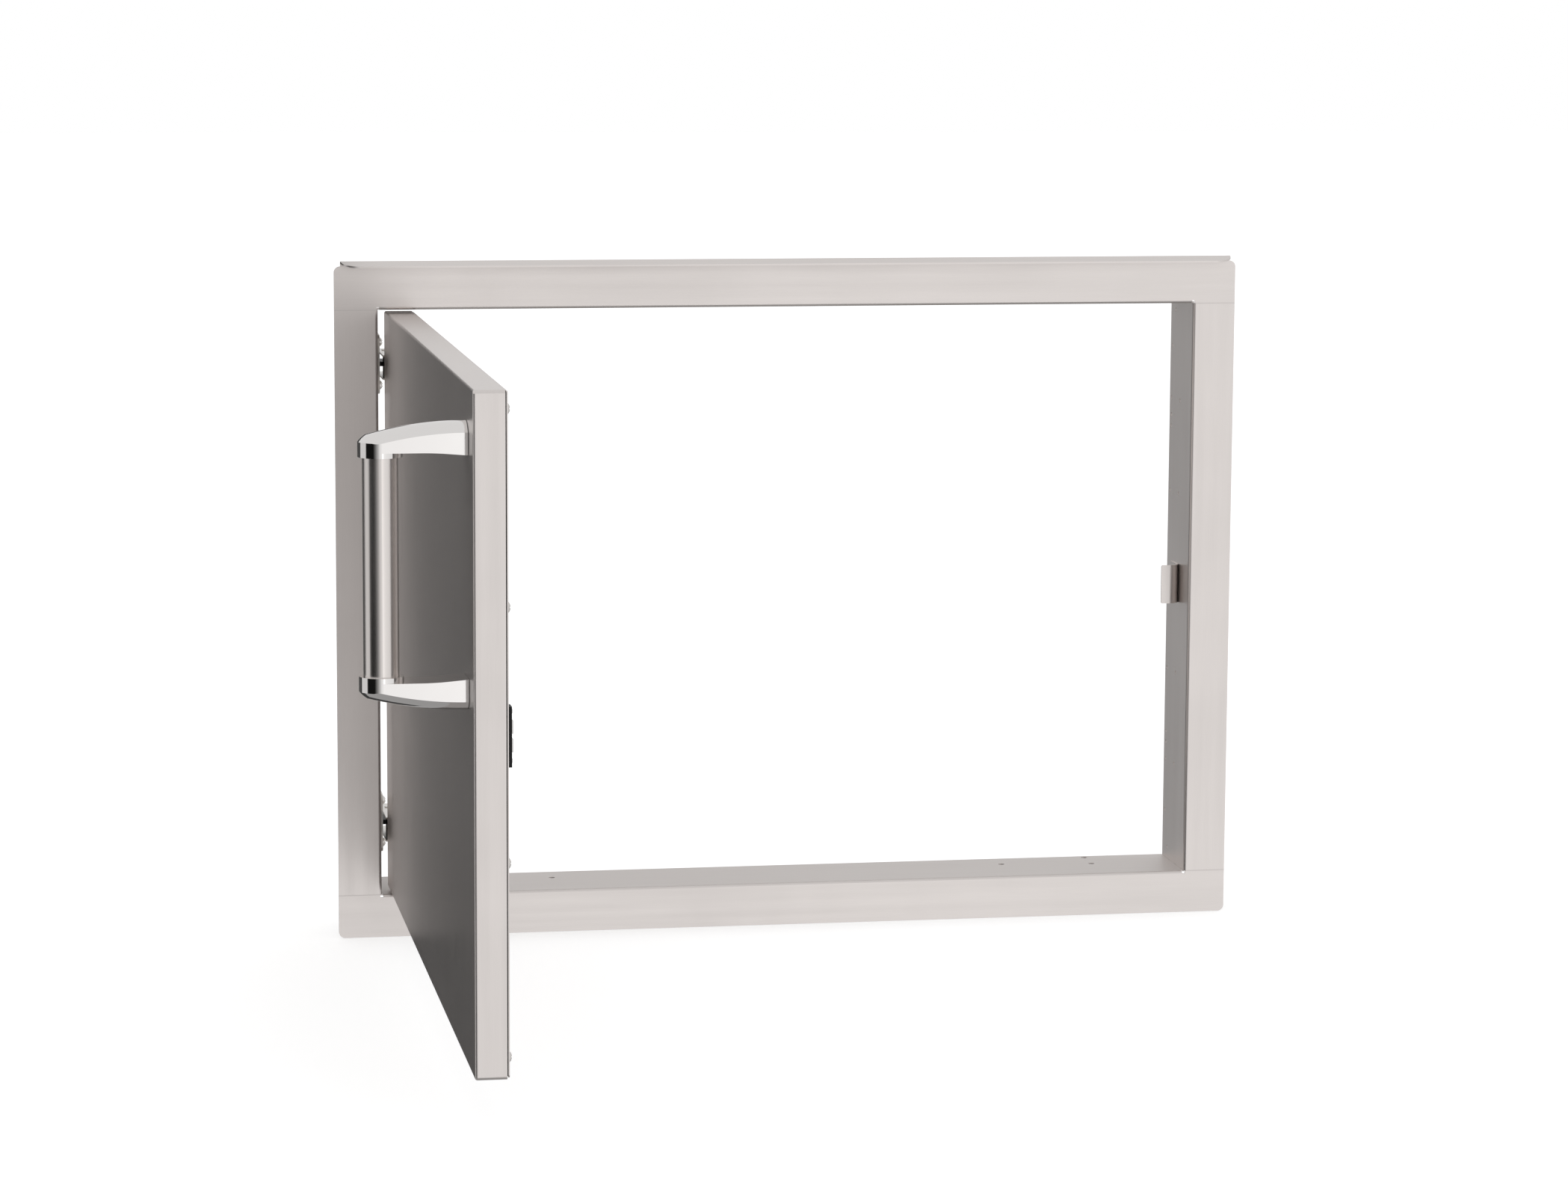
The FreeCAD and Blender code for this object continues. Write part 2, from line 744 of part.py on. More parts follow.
def handle_pad():
    """Thin pad between the upper arm and the door."""
    half = arm_half_width - pad_margin
    x = door_left + handle_place
    face = crowned_face(half, arm_inner_at_door + pad_margin, arm_rim_height - pad_margin,
                        arm_rim_height + arm_crown - pad_margin,
                        lambda a, b: V(x + a, front, handle_height + b))
    plate = face.extrude(V(0, -pad_thickness, 0))
    return bored(plate, V(x, front, handle_height + handle_screw_height), V(0, -1, 0),
                 handle_screw_radius + hole_clearance, pad_thickness)


# Hinges

def link_pins(cup_pin, arm_reach):
    """Cup pin with the door open, and the arm pin that is equally far from the cup pin with the
    door open and shut. Both are (u, v) beside the left jamb."""
    s, depth = cup_pin
    shut = (side_gap + s - pivot_from_jamb, door_thickness - depth - pivot_behind_front)
    across = unit((0, 0), (shut[0] + shut[1], shut[1] - shut[0]))
    arm = (pivot_from_jamb + arm_reach * across[0], pivot_behind_front + arm_reach * across[1])
    cup = (pivot_from_jamb + shut[1], pivot_behind_front - shut[0])
    return cup, arm


def link_bar(cup, arm, bow, half_width, eye, z0, z1):
    """Curved bar from the cup pin to the arm pin, bowed out round the door's edge."""
    along = unit(cup, arm)
    mid = ((cup[0] + arm[0]) / 2 + along[1] * bow, (cup[1] + arm[1]) / 2 - along[0] * bow)
    centre, radius = circle_through(cup, mid, arm)
    ring = rod(at(*centre, z0), V(0, 0, 1), radius + half_width, z1 - z0)
    ring = ring.cut(rod(at(*centre, z0), V(0, 0, 1), radius - half_width, z1 - z0))
    far = 4 * bow
    side = [cup, arm, (arm[0] + along[1] * far, arm[1] - along[0] * far),
            (cup[0] + along[1] * far, cup[1] - along[0] * far)]
    sector = prism(side, [0] * 4, lambda a, b: at(a, b, z0), V(0, 0, z1 - z0))
    pieces = [ring.common(sector), rod(at(*arm, z0), V(0, 0, 1), eye, z1 - z0),
              rod(at(*cup, z0), V(0, 0, 1), cup_pin_eye, z1 - z0)]
    return fused(pieces)


def turned(point, centre, degrees):
    """Flat point turned about another."""
    c = math.cos(math.radians(degrees))
    s = math.sin(math.radians(degrees))
    x = point[0] - centre[0]
    y = point[1] - centre[1]
    return (centre[0] + c * x - s * y, centre[1] + s * x + c * y)


def cup_pin_drift(cup_pin, arm_reach):
    """Range of places in the door, from its hinge edge and from its back, that a cup pin takes
    while the door swings and the link turns in proportion: (lowest, highest) of each."""
    cup, arm = link_pins(cup_pin, arm_reach)
    shut = (side_gap + cup_pin[0], door_thickness - cup_pin[1])
    start = math.atan2(cup[1] - arm[1], cup[0] - arm[0])
    end = math.atan2(shut[1] - arm[1], shut[0] - arm[0])
    turn = math.degrees(math.remainder(end - start, 2 * math.pi))
    centre = (pivot_from_jamb, pivot_behind_front)
    edges = []
    depths = []
    for step in range(-swing_beyond_open, int(open_angle) + 1):
        place = turned(turned(cup, arm, turn * step / open_angle), centre, -step)
        edges.append(pivot_from_jamb + pivot_behind_front - side_gap - place[1])
        depths.append(pivot_from_jamb - pivot_behind_front + door_thickness - place[0])
    return (min(edges), max(edges)), (min(depths), max(depths))


def cup_lug():
    """Upper lug inside the cup, with a closed slot in which the inner link's pin can drift."""
    edges, depths = cup_pin_drift(inner_cup_pin, inner_arm_reach)
    ease = cup_pin_radius + drift_clearance
    z0 = lug_start()
    floor = door_thickness - cup_depth + cup_wall / 2
    top = door_thickness - depths[0] + ease + lug_wall
    plate = door_box(edges[0] - ease - lug_wall, edges[1] + ease + lug_wall, floor, top,
                     z0, z0 + lug_thickness)
    slot_half = (edges[1] - edges[0]) / 2 + ease
    middle = (edges[0] + edges[1]) / 2
    slot = rounded_plate(door_left + middle - slot_half, door_left + middle + slot_half,
                         front + door_thickness - depths[1] - ease,
                         front + door_thickness - depths[0] + ease,
                         ease, lambda a, b: V(a, b, z0 - overrun), V(0, 0, lug_thickness + 2 * overrun))
    return plate.cut(slot)


def lug_start():
    """Height of the lug's near side above the hinge's middle."""
    return outer_half_height + link_gap + inner_cheek + lug_gap


def circle_through(a, b, c):
    """Centre and radius of the circle through three flat points."""
    d = 2 * (a[0] * (b[1] - c[1]) + b[0] * (c[1] - a[1]) + c[0] * (a[1] - b[1]))
    sq = [p[0] ** 2 + p[1] ** 2 for p in (a, b, c)]
    x = (sq[0] * (b[1] - c[1]) + sq[1] * (c[1] - a[1]) + sq[2] * (a[1] - b[1])) / d
    y = (sq[0] * (c[0] - b[0]) + sq[1] * (a[0] - c[0]) + sq[2] * (b[0] - a[0])) / d
    return (x, y), math.hypot(a[0] - x, a[1] - y)


def outer_link():
    """Single curved link in the middle of the hinge."""
    cup, arm = link_pins(outer_cup_pin, outer_arm_reach)
    eye = hinge_pin_radius + link_eye_margin
    body = link_bar(cup, arm, outer_bow, outer_half_width, eye, -outer_half_height, outer_half_height)
    body = bored(body, at(*arm, -outer_half_height), V(0, 0, 1), hinge_pin_radius + running_clearance,
                 2 * outer_half_height)
    return bored(body, at(*cup, -outer_half_height), V(0, 0, 1), cup_pin_radius + press_clearance,
                 2 * outer_half_height)


def inner_link():
    """Pair of cheeks either side of the outer link, joined by a sleeve on the arm pin."""
    cup, arm = link_pins(inner_cup_pin, inner_arm_reach)
    eye = hinge_pin_radius + link_eye_margin
    z0 = outer_half_height + link_gap
    z1 = z0 + inner_cheek
    cheek = link_bar(cup, arm, inner_bow, inner_half_width, eye, z0, z1)
    sleeve = rod(at(*arm, -z0), V(0, 0, 1), eye, 2 * z0)
    body = fused([cheek, mirrored_up(cheek), sleeve])
    body = bored(body, at(*arm, -z1), V(0, 0, 1), hinge_pin_radius + running_clearance, 2 * z1)
    return bored(body, at(*cup, -z1), V(0, 0, 1), cup_pin_radius + press_clearance, 2 * z1)


def outer_cup_pins():
    """Short pin in the outer link's cup end."""
    cup, _ = link_pins(outer_cup_pin, outer_arm_reach)
    reach = outer_half_height + link_gap / 2
    return [rod(at(*cup, -reach), V(0, 0, 1), cup_pin_radius, 2 * reach)]


def inner_cup_pins():
    """Stub pins in the cheeks' cup ends, which stand in the slots of the cup's lugs."""
    cup, _ = link_pins(inner_cup_pin, inner_arm_reach)
    z0 = outer_half_height + link_gap
    stub = rod(at(*cup, z0), V(0, 0, 1), cup_pin_radius, lug_start() + lug_thickness - z0)
    return [stub, mirrored_up(stub)]


def hinge_arm():
    """Channel that reaches from the mounting plate to the link pins, open towards the jamb."""
    _, inner_pin = link_pins(inner_cup_pin, inner_arm_reach)
    nose = inner_pin[0] + channel_nose_margin
    nose_front = door_thickness + cup_flange + channel_front_clearance
    outline = [(channel_edge, nose_front), (channel_edge, channel_back), (channel_top, channel_back),
               (channel_top, channel_shoulder), (nose, channel_nose_back), (nose, nose_front)]
    radii = [0, channel_corner, channel_corner, channel_corner, channel_corner, channel_corner]
    body = prism(outline, radii, lambda a, b: at(a, b, -channel_half_height),
                 V(0, 0, 2 * channel_half_height))
    inner_half = channel_half_height - channel_sheet
    web = channel_top - channel_sheet
    hollow = [(0, 0), (0, channel_back + overrun), (web, channel_back + overrun),
              (web, channel_shoulder - channel_inner_fall),
              (nose - channel_sheet, channel_nose_back - channel_inner_fall),
              (nose + overrun, channel_nose_back - channel_inner_fall), (nose + overrun, 0)]
    body = body.cut(prism(hollow, [0] * 7, lambda a, b: at(a, b, -inner_half), V(0, 0, 2 * inner_half)))
    back_corner = math.hypot(pivot_from_jamb - side_gap - liner_inset, door_thickness - pivot_behind_front)
    body = bored(body, at(pivot_from_jamb, pivot_behind_front, -channel_half_height), V(0, 0, 1),
                 back_corner + door_clearance, 2 * channel_half_height)
    for place in arm_pin_places() + [clip_pin_place]:
        body = bored(body, at(*place, -channel_half_height), V(0, 0, 1), hinge_pin_radius + press_clearance,
                     2 * channel_half_height)
    for v in adjusting_screw_depths:
        body = bored(body, at(web, v), V(1, 0, 0), adjusting_screw_radius + press_clearance, channel_sheet)
    return body


def arm_pin_places():
    """The two pins that carry the links."""
    return [link_pins(outer_cup_pin, outer_arm_reach)[1], link_pins(inner_cup_pin, inner_arm_reach)[1]]


def headed_pin(place):
    """Pin across the channel, riveted over at both ends."""
    shank = rod(at(*place, -channel_half_height), V(0, 0, 1), hinge_pin_radius, 2 * channel_half_height)
    cap = rod(at(*place, channel_half_height), V(0, 0, 1), hinge_pin_head_radius, hinge_pin_head_height)
    return fused([shank, cap, mirrored_up(cap)])


def mounting_plate():
    """Cast plate on the jamb with a wing above and below for its screws."""
    v0 = plate_screw_depth - plate_half_depth
    v1 = plate_screw_depth + plate_half_depth
    base = rounded_plate(v0, v1, -plate_half_height, plate_half_height, plate_corner,
                         lambda a, b: at(0, a, b), V(plate_thickness, 0, 0))
    slot = box(at(plate_thickness - rail_bar_seat, 0).x, at(plate_thickness + overrun, 0).x,
               at(0, rail_bar_front).y, at(0, v1 + overrun).y,
               -rail_bar_half_thickness, rail_bar_half_thickness)
    base = base.cut(slot)
    for end in (-1, 1):
        base = bored(base, at(0, plate_screw_depth, end * plate_screw_spacing / 2), V(1, 0, 0),
                     plate_screw_radius + hole_clearance, plate_thickness)
    return base


def plate_screws():
    """Screws that hold the mounting plate to the jamb."""
    return [dome_screw(at(plate_thickness, plate_screw_depth, end * plate_screw_spacing / 2), V(-1, 0, 0),
                       plate_head_radius, plate_head_height, plate_screw_radius,
                       plate_thickness + frame_sheet + plate_screw_bite) for end in (-1, 1)]


def rail_bar():
    """Thin dark bar standing on the mounting plate, which the channel clips over."""
    bar = box(at(plate_thickness - rail_bar_seat, 0).x, at(rail_bar_top, 0).x,
              at(0, rail_bar_front).y, at(0, rail_bar_back).y,
              -rail_bar_half_thickness, rail_bar_half_thickness)
    bar = bored(bar, at(*clip_pin_place, -rail_bar_half_thickness), V(0, 0, 1),
                hinge_pin_radius + press_clearance, 2 * rail_bar_half_thickness)
    for v in adjusting_screw_depths:
        bar = bored(bar, at(rail_bar_top, v), V(-1, 0, 0), adjusting_screw_radius + press_clearance,
                    adjusting_screw_length)
    return bar


def adjusting_screws():
    """Screws through the channel's web into the bar."""
    return [dome_screw(at(channel_top, v), V(-1, 0, 0), adjusting_head_radius, adjusting_head_height,
                       adjusting_screw_radius, adjusting_screw_length) for v in adjusting_screw_depths]


def hinge_cup():
    """Pressed cup in the door's back, with a flange, a wing above and below, and two pin lugs."""
    rim = on_door(cup_centre, door_thickness)
    wing = cup_screw_spacing / 2 + cup_wing_margin
    s0 = door_left + cup_screw_place - cup_wing_half_width
    flange = rod(rim, V(0, 1, 0), cup_radius + cup_flange_margin, cup_flange)
    wings = rounded_plate(s0, s0 + 2 * cup_wing_half_width, -wing, wing, cup_wing_corner,
                          lambda a, b: V(a, rim.y, b), V(0, cup_flange, 0))
    well = rod(rim, V(0, -1, 0), cup_radius, cup_depth)
    body = fused([flange, wings, well])
    hollow = rod(rim + V(0, cup_flange + overrun, 0), V(0, -1, 0), cup_radius - cup_wall,
                 cup_flange + overrun + cup_depth - cup_wall)
    body = body.cut(hollow)
    lug = cup_lug()
    body = fused([body, lug, mirrored_up(lug)])
    for end in (-1, 1):
        body = bored(body, on_door(cup_screw_place, door_thickness, end * cup_screw_spacing / 2),
                     V(0, 1, 0), cup_screw_radius + hole_clearance, cup_flange)
    return body


def cup_screws():
    """Screws that hold the cup to the door."""
    return [dome_screw(on_door(cup_screw_place, door_thickness + cup_flange, end * cup_screw_spacing / 2),
                       V(0, -1, 0), cup_head_radius, cup_head_height, cup_screw_radius, cup_screw_length)
            for end in (-1, 1)]


def make_hinges():
    """Two concealed hinges, each with its plate, channel, links, pins, cup and screws."""
    pieces = {
        "plate": [mounting_plate()],
        "plate_screws": plate_screws(),
        "bar": [rail_bar()],
        "clip_pin": [headed_pin(clip_pin_place)],
        "arm": [hinge_arm()],
        "arm_pins": [headed_pin(place) for place in arm_pin_places()],
        "adjusting_screws": adjusting_screws(),
        "outer_link": [outer_link()],
        "outer_link_pin": outer_cup_pins(),
        "inner_link": [inner_link()],
        "inner_link_pins": inner_cup_pins(),
        "cup": [opened(hinge_cup())],
        "cup_screws": [opened(screw) for screw in cup_screws()],
    }
    for word, side in (("upper", 1), ("lower", -1)):
        for name, shapes in pieces.items():
            moved = [shape.translated(V(0, 0, side * hinge_height)) for shape in shapes]
            keep(word + "_hinge_" + name, *moved)


# Catch

def make_catch():
    """Magnetic catch near the free edge: black body, two pole plates and the magnet between."""
    s1 = door_width - catch_inset
    s0 = s1 - catch_width
    box_s1 = s1 - (catch_width - catch_box_width()) / 2
    box_s0 = box_s1 - catch_box_width()
    pole_s0 = box_s0 + catch_wall
    pole_s1 = box_s1 - catch_wall
    face = door_thickness + catch_proud
    floor = door_thickness - catch_depth
    low = catch_rise - catch_half_height
    high = catch_rise + catch_half_height
    plate = door_box(s0, s1, door_thickness, face, low, high)
    sunk = door_box(box_s0, box_s1, floor, door_thickness,
                    catch_rise - catch_box_half_height, catch_rise + catch_box_half_height)
    half_magnet = magnet_thickness / 2
    stack = half_magnet + pole_height
    pocket = door_box(pole_s0, pole_s1, floor + catch_wall, face + overrun,
                      catch_rise - stack, catch_rise + stack)
    body = fused([plate, sunk]).cut(pocket)
    screws = []
    for s, z in catch_screw_places():
        seat = on_door(s, face, z)
        body = bored(body, seat, V(0, -1, 0), catch_screw_radius + hole_clearance, catch_proud)
        screws.append(opened(dome_screw(seat, V(0, -1, 0), catch_screw_head_radius,
                                        catch_screw_head_height, catch_screw_radius, catch_screw_length)))
    keep("catch_body", opened(body))
    poles = [door_box(pole_s0, pole_s1, floor + catch_wall, door_thickness + pole_proud,
                      catch_rise + side * half_magnet, catch_rise + side * stack) for side in (-1, 1)]
    keep("catch_poles", *[opened(pole) for pole in poles])
    magnet = door_box(pole_s0, pole_s1, floor + catch_wall, face - magnet_recess,
                      catch_rise - half_magnet, catch_rise + half_magnet)
    keep("catch_magnet", opened(magnet))
    keep("catch_screws", *screws)


make_frame()
make_door_shell()
make_handle()
make_hinges()
make_catch()

os.makedirs("parts", exist_ok=True)
for name, shape in parts.items():
    shape.exportStep("parts/" + name + ".step")
    print(name, len(shape.Solids), round(shape.Volume / 1000, 3), shape.isValid())
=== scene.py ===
"""Island access door: its finishes, its detailed screws, the camera and the studio."""

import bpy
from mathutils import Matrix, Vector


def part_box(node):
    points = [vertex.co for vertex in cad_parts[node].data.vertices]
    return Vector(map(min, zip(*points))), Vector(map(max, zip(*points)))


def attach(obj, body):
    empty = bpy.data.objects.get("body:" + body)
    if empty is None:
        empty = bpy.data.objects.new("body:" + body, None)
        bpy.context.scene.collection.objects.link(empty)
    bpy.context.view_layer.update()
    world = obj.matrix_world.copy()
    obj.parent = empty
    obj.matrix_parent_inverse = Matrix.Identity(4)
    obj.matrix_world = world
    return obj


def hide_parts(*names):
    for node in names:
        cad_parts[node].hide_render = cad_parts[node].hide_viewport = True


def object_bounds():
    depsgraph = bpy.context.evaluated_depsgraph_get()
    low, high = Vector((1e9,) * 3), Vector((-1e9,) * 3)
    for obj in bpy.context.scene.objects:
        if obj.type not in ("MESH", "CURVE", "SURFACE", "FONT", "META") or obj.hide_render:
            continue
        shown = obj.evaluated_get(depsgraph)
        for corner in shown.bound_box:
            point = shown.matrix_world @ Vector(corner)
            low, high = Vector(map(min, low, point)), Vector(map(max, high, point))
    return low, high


bl_info = {
    "name": "Island access door",
    "version": (1, 0, 0),
    "blender": (4, 5, 0),
    "location": "3D View > Sidebar > Access door",
    "description": "Finishes, detail pieces and studio for a stainless island access door",
    "category": "Object",
}

import math

import bpy
import numpy as np
from bpy.props import FloatProperty, FloatVectorProperty, IntProperty, PointerProperty
from mathutils import Matrix, Vector

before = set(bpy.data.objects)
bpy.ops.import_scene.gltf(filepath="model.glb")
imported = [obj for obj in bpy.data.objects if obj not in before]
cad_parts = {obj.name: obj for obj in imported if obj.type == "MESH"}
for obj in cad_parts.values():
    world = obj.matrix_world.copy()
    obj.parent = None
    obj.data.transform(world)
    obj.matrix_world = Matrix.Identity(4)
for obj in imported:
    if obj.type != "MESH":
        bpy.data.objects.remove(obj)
CAD_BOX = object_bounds()
HINGES = ("upper", "lower")

# Axes that brush marks run along
ACROSS, UP = 0, 2

# Colours of the parts that hardly show
INNER_STEEL = (0.52, 0.50, 0.485, 1.0)
SEAL_BLACK = (0.022, 0.022, 0.022, 1.0)
HANDLE_SCREW_STEEL = (0.66, 0.64, 0.62, 1.0)
PIN_STEEL = (0.70, 0.675, 0.65, 1.0)
POLE_STEEL = (0.60, 0.585, 0.57, 1.0)
MAGNET_GREY = (0.045, 0.044, 0.043, 1.0)
SCREW_STEEL = (0.72, 0.69, 0.665, 1.0)

# Height of a brush mark or speckle, in metres
MARK_HEIGHT = 0.00002

# What a handling haze and a dressed weld add to the roughness, and what the weld takes off the
# lightness
HAZE_BLUR = 0.03
WELD_BLUR = 0.12
WELD_DULLING = 0.10

# Screws as (radius of the head, height of the head, radius of the shank), in metres
LINER_SCREW = (0.0042, 0.0024, 0.0020)
PLATE_SCREW = (0.0037, 0.0029, 0.0020)
CUP_SCREW = (0.0036, 0.0014, 0.0020)
ADJUSTING_SCREW = (0.0034, 0.0016, 0.00125)
CATCH_SCREW = (0.0024, 0.0010, 0.00125)

# Length of a liner screw, and how far the inner rows stand above and below the middle
LINER_SCREW_LENGTH = 0.009
LINER_SCREW_ROW = 0.0795

# Bend from which an edge is drawn sharp
SHARP_ANGLE = math.radians(38.0)

# Lightness of the room all round, by degrees from the front, where the right is plus
ROOM_LEVELS = (
    (-180, 0.45), (-176, 0.12), (-170, 0.52), (-156, 0.48), (-146, 0.01), (-127, 0.01),
    (-122, 0.70), (-84, 0.70), (-79, 0.008), (-38, 0.008), (-28, 0.16), (-20, 0.34),
    (-12, 0.58), (-4, 0.88), (3, 0.98), (6, 1.05), (8, 1.36), (12, 1.36), (16, 1.00),
    (30, 0.92), (60, 0.85), (100, 0.75), (150, 0.72), (172, 0.68), (180, 0.45))

# How high those levels reach above the horizon before the ceiling's level takes over
ROOM_HEIGHTS = (
    (-180, 0.0), (-150, 0.02), (-138, 0.06), (-50, 0.06), (-20, 0.02), (0, 0.0), (180, 0.0))

# The ceiling and the ground, and the slopes of sight over which each takes over from the room
CEILING = (0.80, 0.80, 0.80, 1.0)
CEILING_BLEND = (0.0, 0.14)
GROUND = (0.35, 0.35, 0.35, 1.0)
GROUND_BLEND = (-0.30, -0.70)

# What the camera sees behind the object
WHITE = (1.0, 1.0, 1.0, 1.0)


# Values that a user would change

class AccessDoorSteel(bpy.types.PropertyGroup):
    """Colour and brushing of the sheet steel."""

    colour: FloatVectorProperty(
        name="Steel colour", description="Colour of the bare stainless steel",
        subtype="COLOR", size=4, min=0.0, max=1.0, default=(0.735, 0.690, 0.667, 1.0))
    roughness: FloatProperty(
        name="Roughness", description="How much the brushing blurs what the frame reflects",
        subtype="FACTOR", min=0.05, max=1.0, default=0.33)
    door_roughness: FloatProperty(
        name="Door roughness",
        description="How much the brushing blurs what the door's face reflects",
        subtype="FACTOR", min=0.05, max=1.0, default=0.33)
    grain_length: FloatProperty(
        name="Grain length", description="Length of one brush mark",
        subtype="DISTANCE", unit="LENGTH", default=0.024)
    grain_width: FloatProperty(
        name="Grain width", description="Width of one brush mark",
        subtype="DISTANCE", unit="LENGTH", default=0.0007)
    grain_tone: FloatProperty(
        name="Grain tone", description="Change of brightness from one brush mark to the next",
        subtype="FACTOR", min=0.0, max=1.0, default=0.07)
    seam_height: FloatProperty(
        name="Seam height", description="Height of the welded seams above and below the middle",
        subtype="DISTANCE", unit="LENGTH", default=0.2159)
    seam_width: FloatProperty(
        name="Seam width", description="Width of the line that the dressed weld leaves",
        subtype="DISTANCE", unit="LENGTH", default=0.0005)


class AccessDoorHandle(bpy.types.PropertyGroup):
    """Finish of the pull."""

    chrome: FloatVectorProperty(
        name="Arm colour", description="Colour of the polished arms",
        subtype="COLOR", size=4, min=0.0, max=1.0, default=(0.82, 0.797, 0.783, 1.0))
    satin: FloatVectorProperty(
        name="Tube colour", description="Colour of the satin tube",
        subtype="COLOR", size=4, min=0.0, max=1.0, default=(0.78, 0.735, 0.71, 1.0))
    satin_roughness: FloatProperty(
        name="Tube roughness", description="How much the satin finish blurs what the tube reflects",
        subtype="FACTOR", min=0.05, max=1.0, default=0.24)
    pad: FloatVectorProperty(
        name="Pad colour", description="Colour of the pads under the arms",
        subtype="COLOR", size=4, min=0.0, max=1.0, default=(0.16, 0.155, 0.15, 1.0))


class AccessDoorHardware(bpy.types.PropertyGroup):
    """Finish of the hinges, the catch and the screws, and the size of the screw recesses."""

    nickel: FloatVectorProperty(
        name="Nickel colour", description="Colour of the plated hinge parts",
        subtype="COLOR", size=4, min=0.0, max=1.0, default=(0.72, 0.69, 0.655, 1.0))
    black: FloatVectorProperty(
        name="Black colour", description="Colour of the catch body and the hinge bars",
        subtype="COLOR", size=4, min=0.0, max=1.0, default=(0.018, 0.018, 0.019, 1.0))
    recess_reach: FloatProperty(
        name="Recess reach",
        description="Reach of the cross recess, as a share of the head's radius",
        subtype="FACTOR", min=0.2, max=0.8, default=0.56)
    recess_width: FloatProperty(
        name="Recess width",
        description="Width of one arm of the cross recess, as a share of the head's radius",
        subtype="FACTOR", min=0.05, max=0.5, default=0.24)
    segments: IntProperty(
        name="Segments", description="Steps round each screw", min=16, max=96, default=48)


class AccessDoorStudio(bpy.types.PropertyGroup):
    """Camera and floor."""

    lens: FloatProperty(
        name="Lens", description="Focal length of the camera", subtype="DISTANCE_CAMERA",
        unit="CAMERA", default=106.99)
    camera_place: FloatVectorProperty(
        name="Camera place", description="Where the camera stands",
        subtype="TRANSLATION", unit="LENGTH", size=3, default=(-0.59786, -3.37537, 0.48600))
    yaw: FloatProperty(
        name="Yaw", description="Turn of the camera to the right", subtype="ANGLE",
        unit="ROTATION", default=math.radians(9.97))
    pitch: FloatProperty(
        name="Pitch", description="Tilt of the camera downwards", subtype="ANGLE",
        unit="ROTATION", default=math.radians(8.09))
    roll: FloatProperty(
        name="Roll", description="Lean of the camera about its own axis", subtype="ANGLE",
        unit="ROTATION", default=math.radians(0.31))
    floor: FloatVectorProperty(
        name="Floor colour", description="Colour of the studio floor",
        subtype="COLOR", size=4, min=0.0, max=1.0, default=(0.80, 0.80, 0.80, 1.0))
    floor_lift: FloatProperty(
        name="Floor lift", description="Light that the floor adds for the camera, to read as white",
        min=0.0, max=1.0, default=0.5)
    floor_reach: FloatProperty(
        name="Floor reach", description="Half the side of the floor", subtype="DISTANCE",
        unit="LENGTH", default=14.0)


# Node helpers

def add(tree, kind, **settings):
    """Add a node and set its plain attributes."""
    node = tree.nodes.new(kind)
    for name, value in settings.items():
        setattr(node, name, value)
    return node


def feed(socket, value):
    """Link an input socket to an output, or set its own value."""
    if isinstance(value, bpy.types.NodeSocket):
        socket.id_data.links.new(value, socket)
    else:
        socket.default_value = value


def fill(node, **values):
    """Feed input sockets by name, with underscores for blanks."""
    for name, value in values.items():
        feed(node.inputs[name.replace("_", " ")], value)
    return node


def maths(tree, operation, *operands, clamp=False):
    """Add a Math node whose operands are sockets or numbers, and return its output."""
    node = add(tree, "ShaderNodeMath", operation=operation, use_clamp=clamp)
    for socket, value in zip(node.inputs, operands):
        feed(socket, value)
    return node.outputs[0]


def scaled(tree, colour, level):
    """Colour made lighter or darker by a level."""
    node = add(tree, "ShaderNodeVectorMath", operation="SCALE")
    return fill(node, Vector=colour, Scale=level).outputs[0]


def noise(tree, **values):
    """Noise between 0 and 1."""
    return fill(add(tree, "ShaderNodeTexNoise"), **values).outputs[0]


def swing(tree, pattern, size):
    """Pattern between 0 and 1, made a change of that size about nought."""
    return maths(tree, "MULTIPLY", maths(tree, "SUBTRACT", pattern, 0.5), size)


def soft_step(tree, value, start, end):
    """Mask that eases from 0 at the start to 1 at the end."""
    node = add(tree, "ShaderNodeMapRange", interpolation_type="SMOOTHSTEP")
    return fill(node, Value=value, From_Min=start, From_Max=end).outputs["Result"]


def mix_to(tree, mask, source, colour):
    """Source where the mask is 0, and a plain colour where it is 1."""
    node = add(tree, "ShaderNodeMix", data_type="RGBA")
    return fill(node, Factor=mask, A=source, B=colour).outputs["Result"]


# Shared node groups

def new_group(name, inputs, outputs):
    """Start a shader group, and return it with its incoming sockets and its result node.

    Inputs are (name, kind, default) and outputs are (name, kind).
    """
    group = bpy.data.node_groups.new(name, "ShaderNodeTree")
    for label, kind, default in inputs:
        socket = group.interface.new_socket(name=label, in_out="INPUT",
                                            socket_type="NodeSocket" + kind)
        if default is not None:
            socket.default_value = default
    for label, kind in outputs:
        group.interface.new_socket(name=label, in_out="OUTPUT", socket_type="NodeSocket" + kind)
    return group, add(group, "NodeGroupInput").outputs, add(group, "NodeGroupOutput")


def put_out(group, given, result, tone, rough, height):
    """Outputs of a skin: the colour swings with one pattern, the roughness with another."""
    level = maths(group, "ADD", swing(group, tone, given["Tone"]), 1.0)
    change = swing(group, rough, given["Spread"])
    fill(result, Colour=scaled(group, given["Colour"], level),
         Roughness=maths(group, "ADD", change, given["Roughness"]), Height=height)
    return group


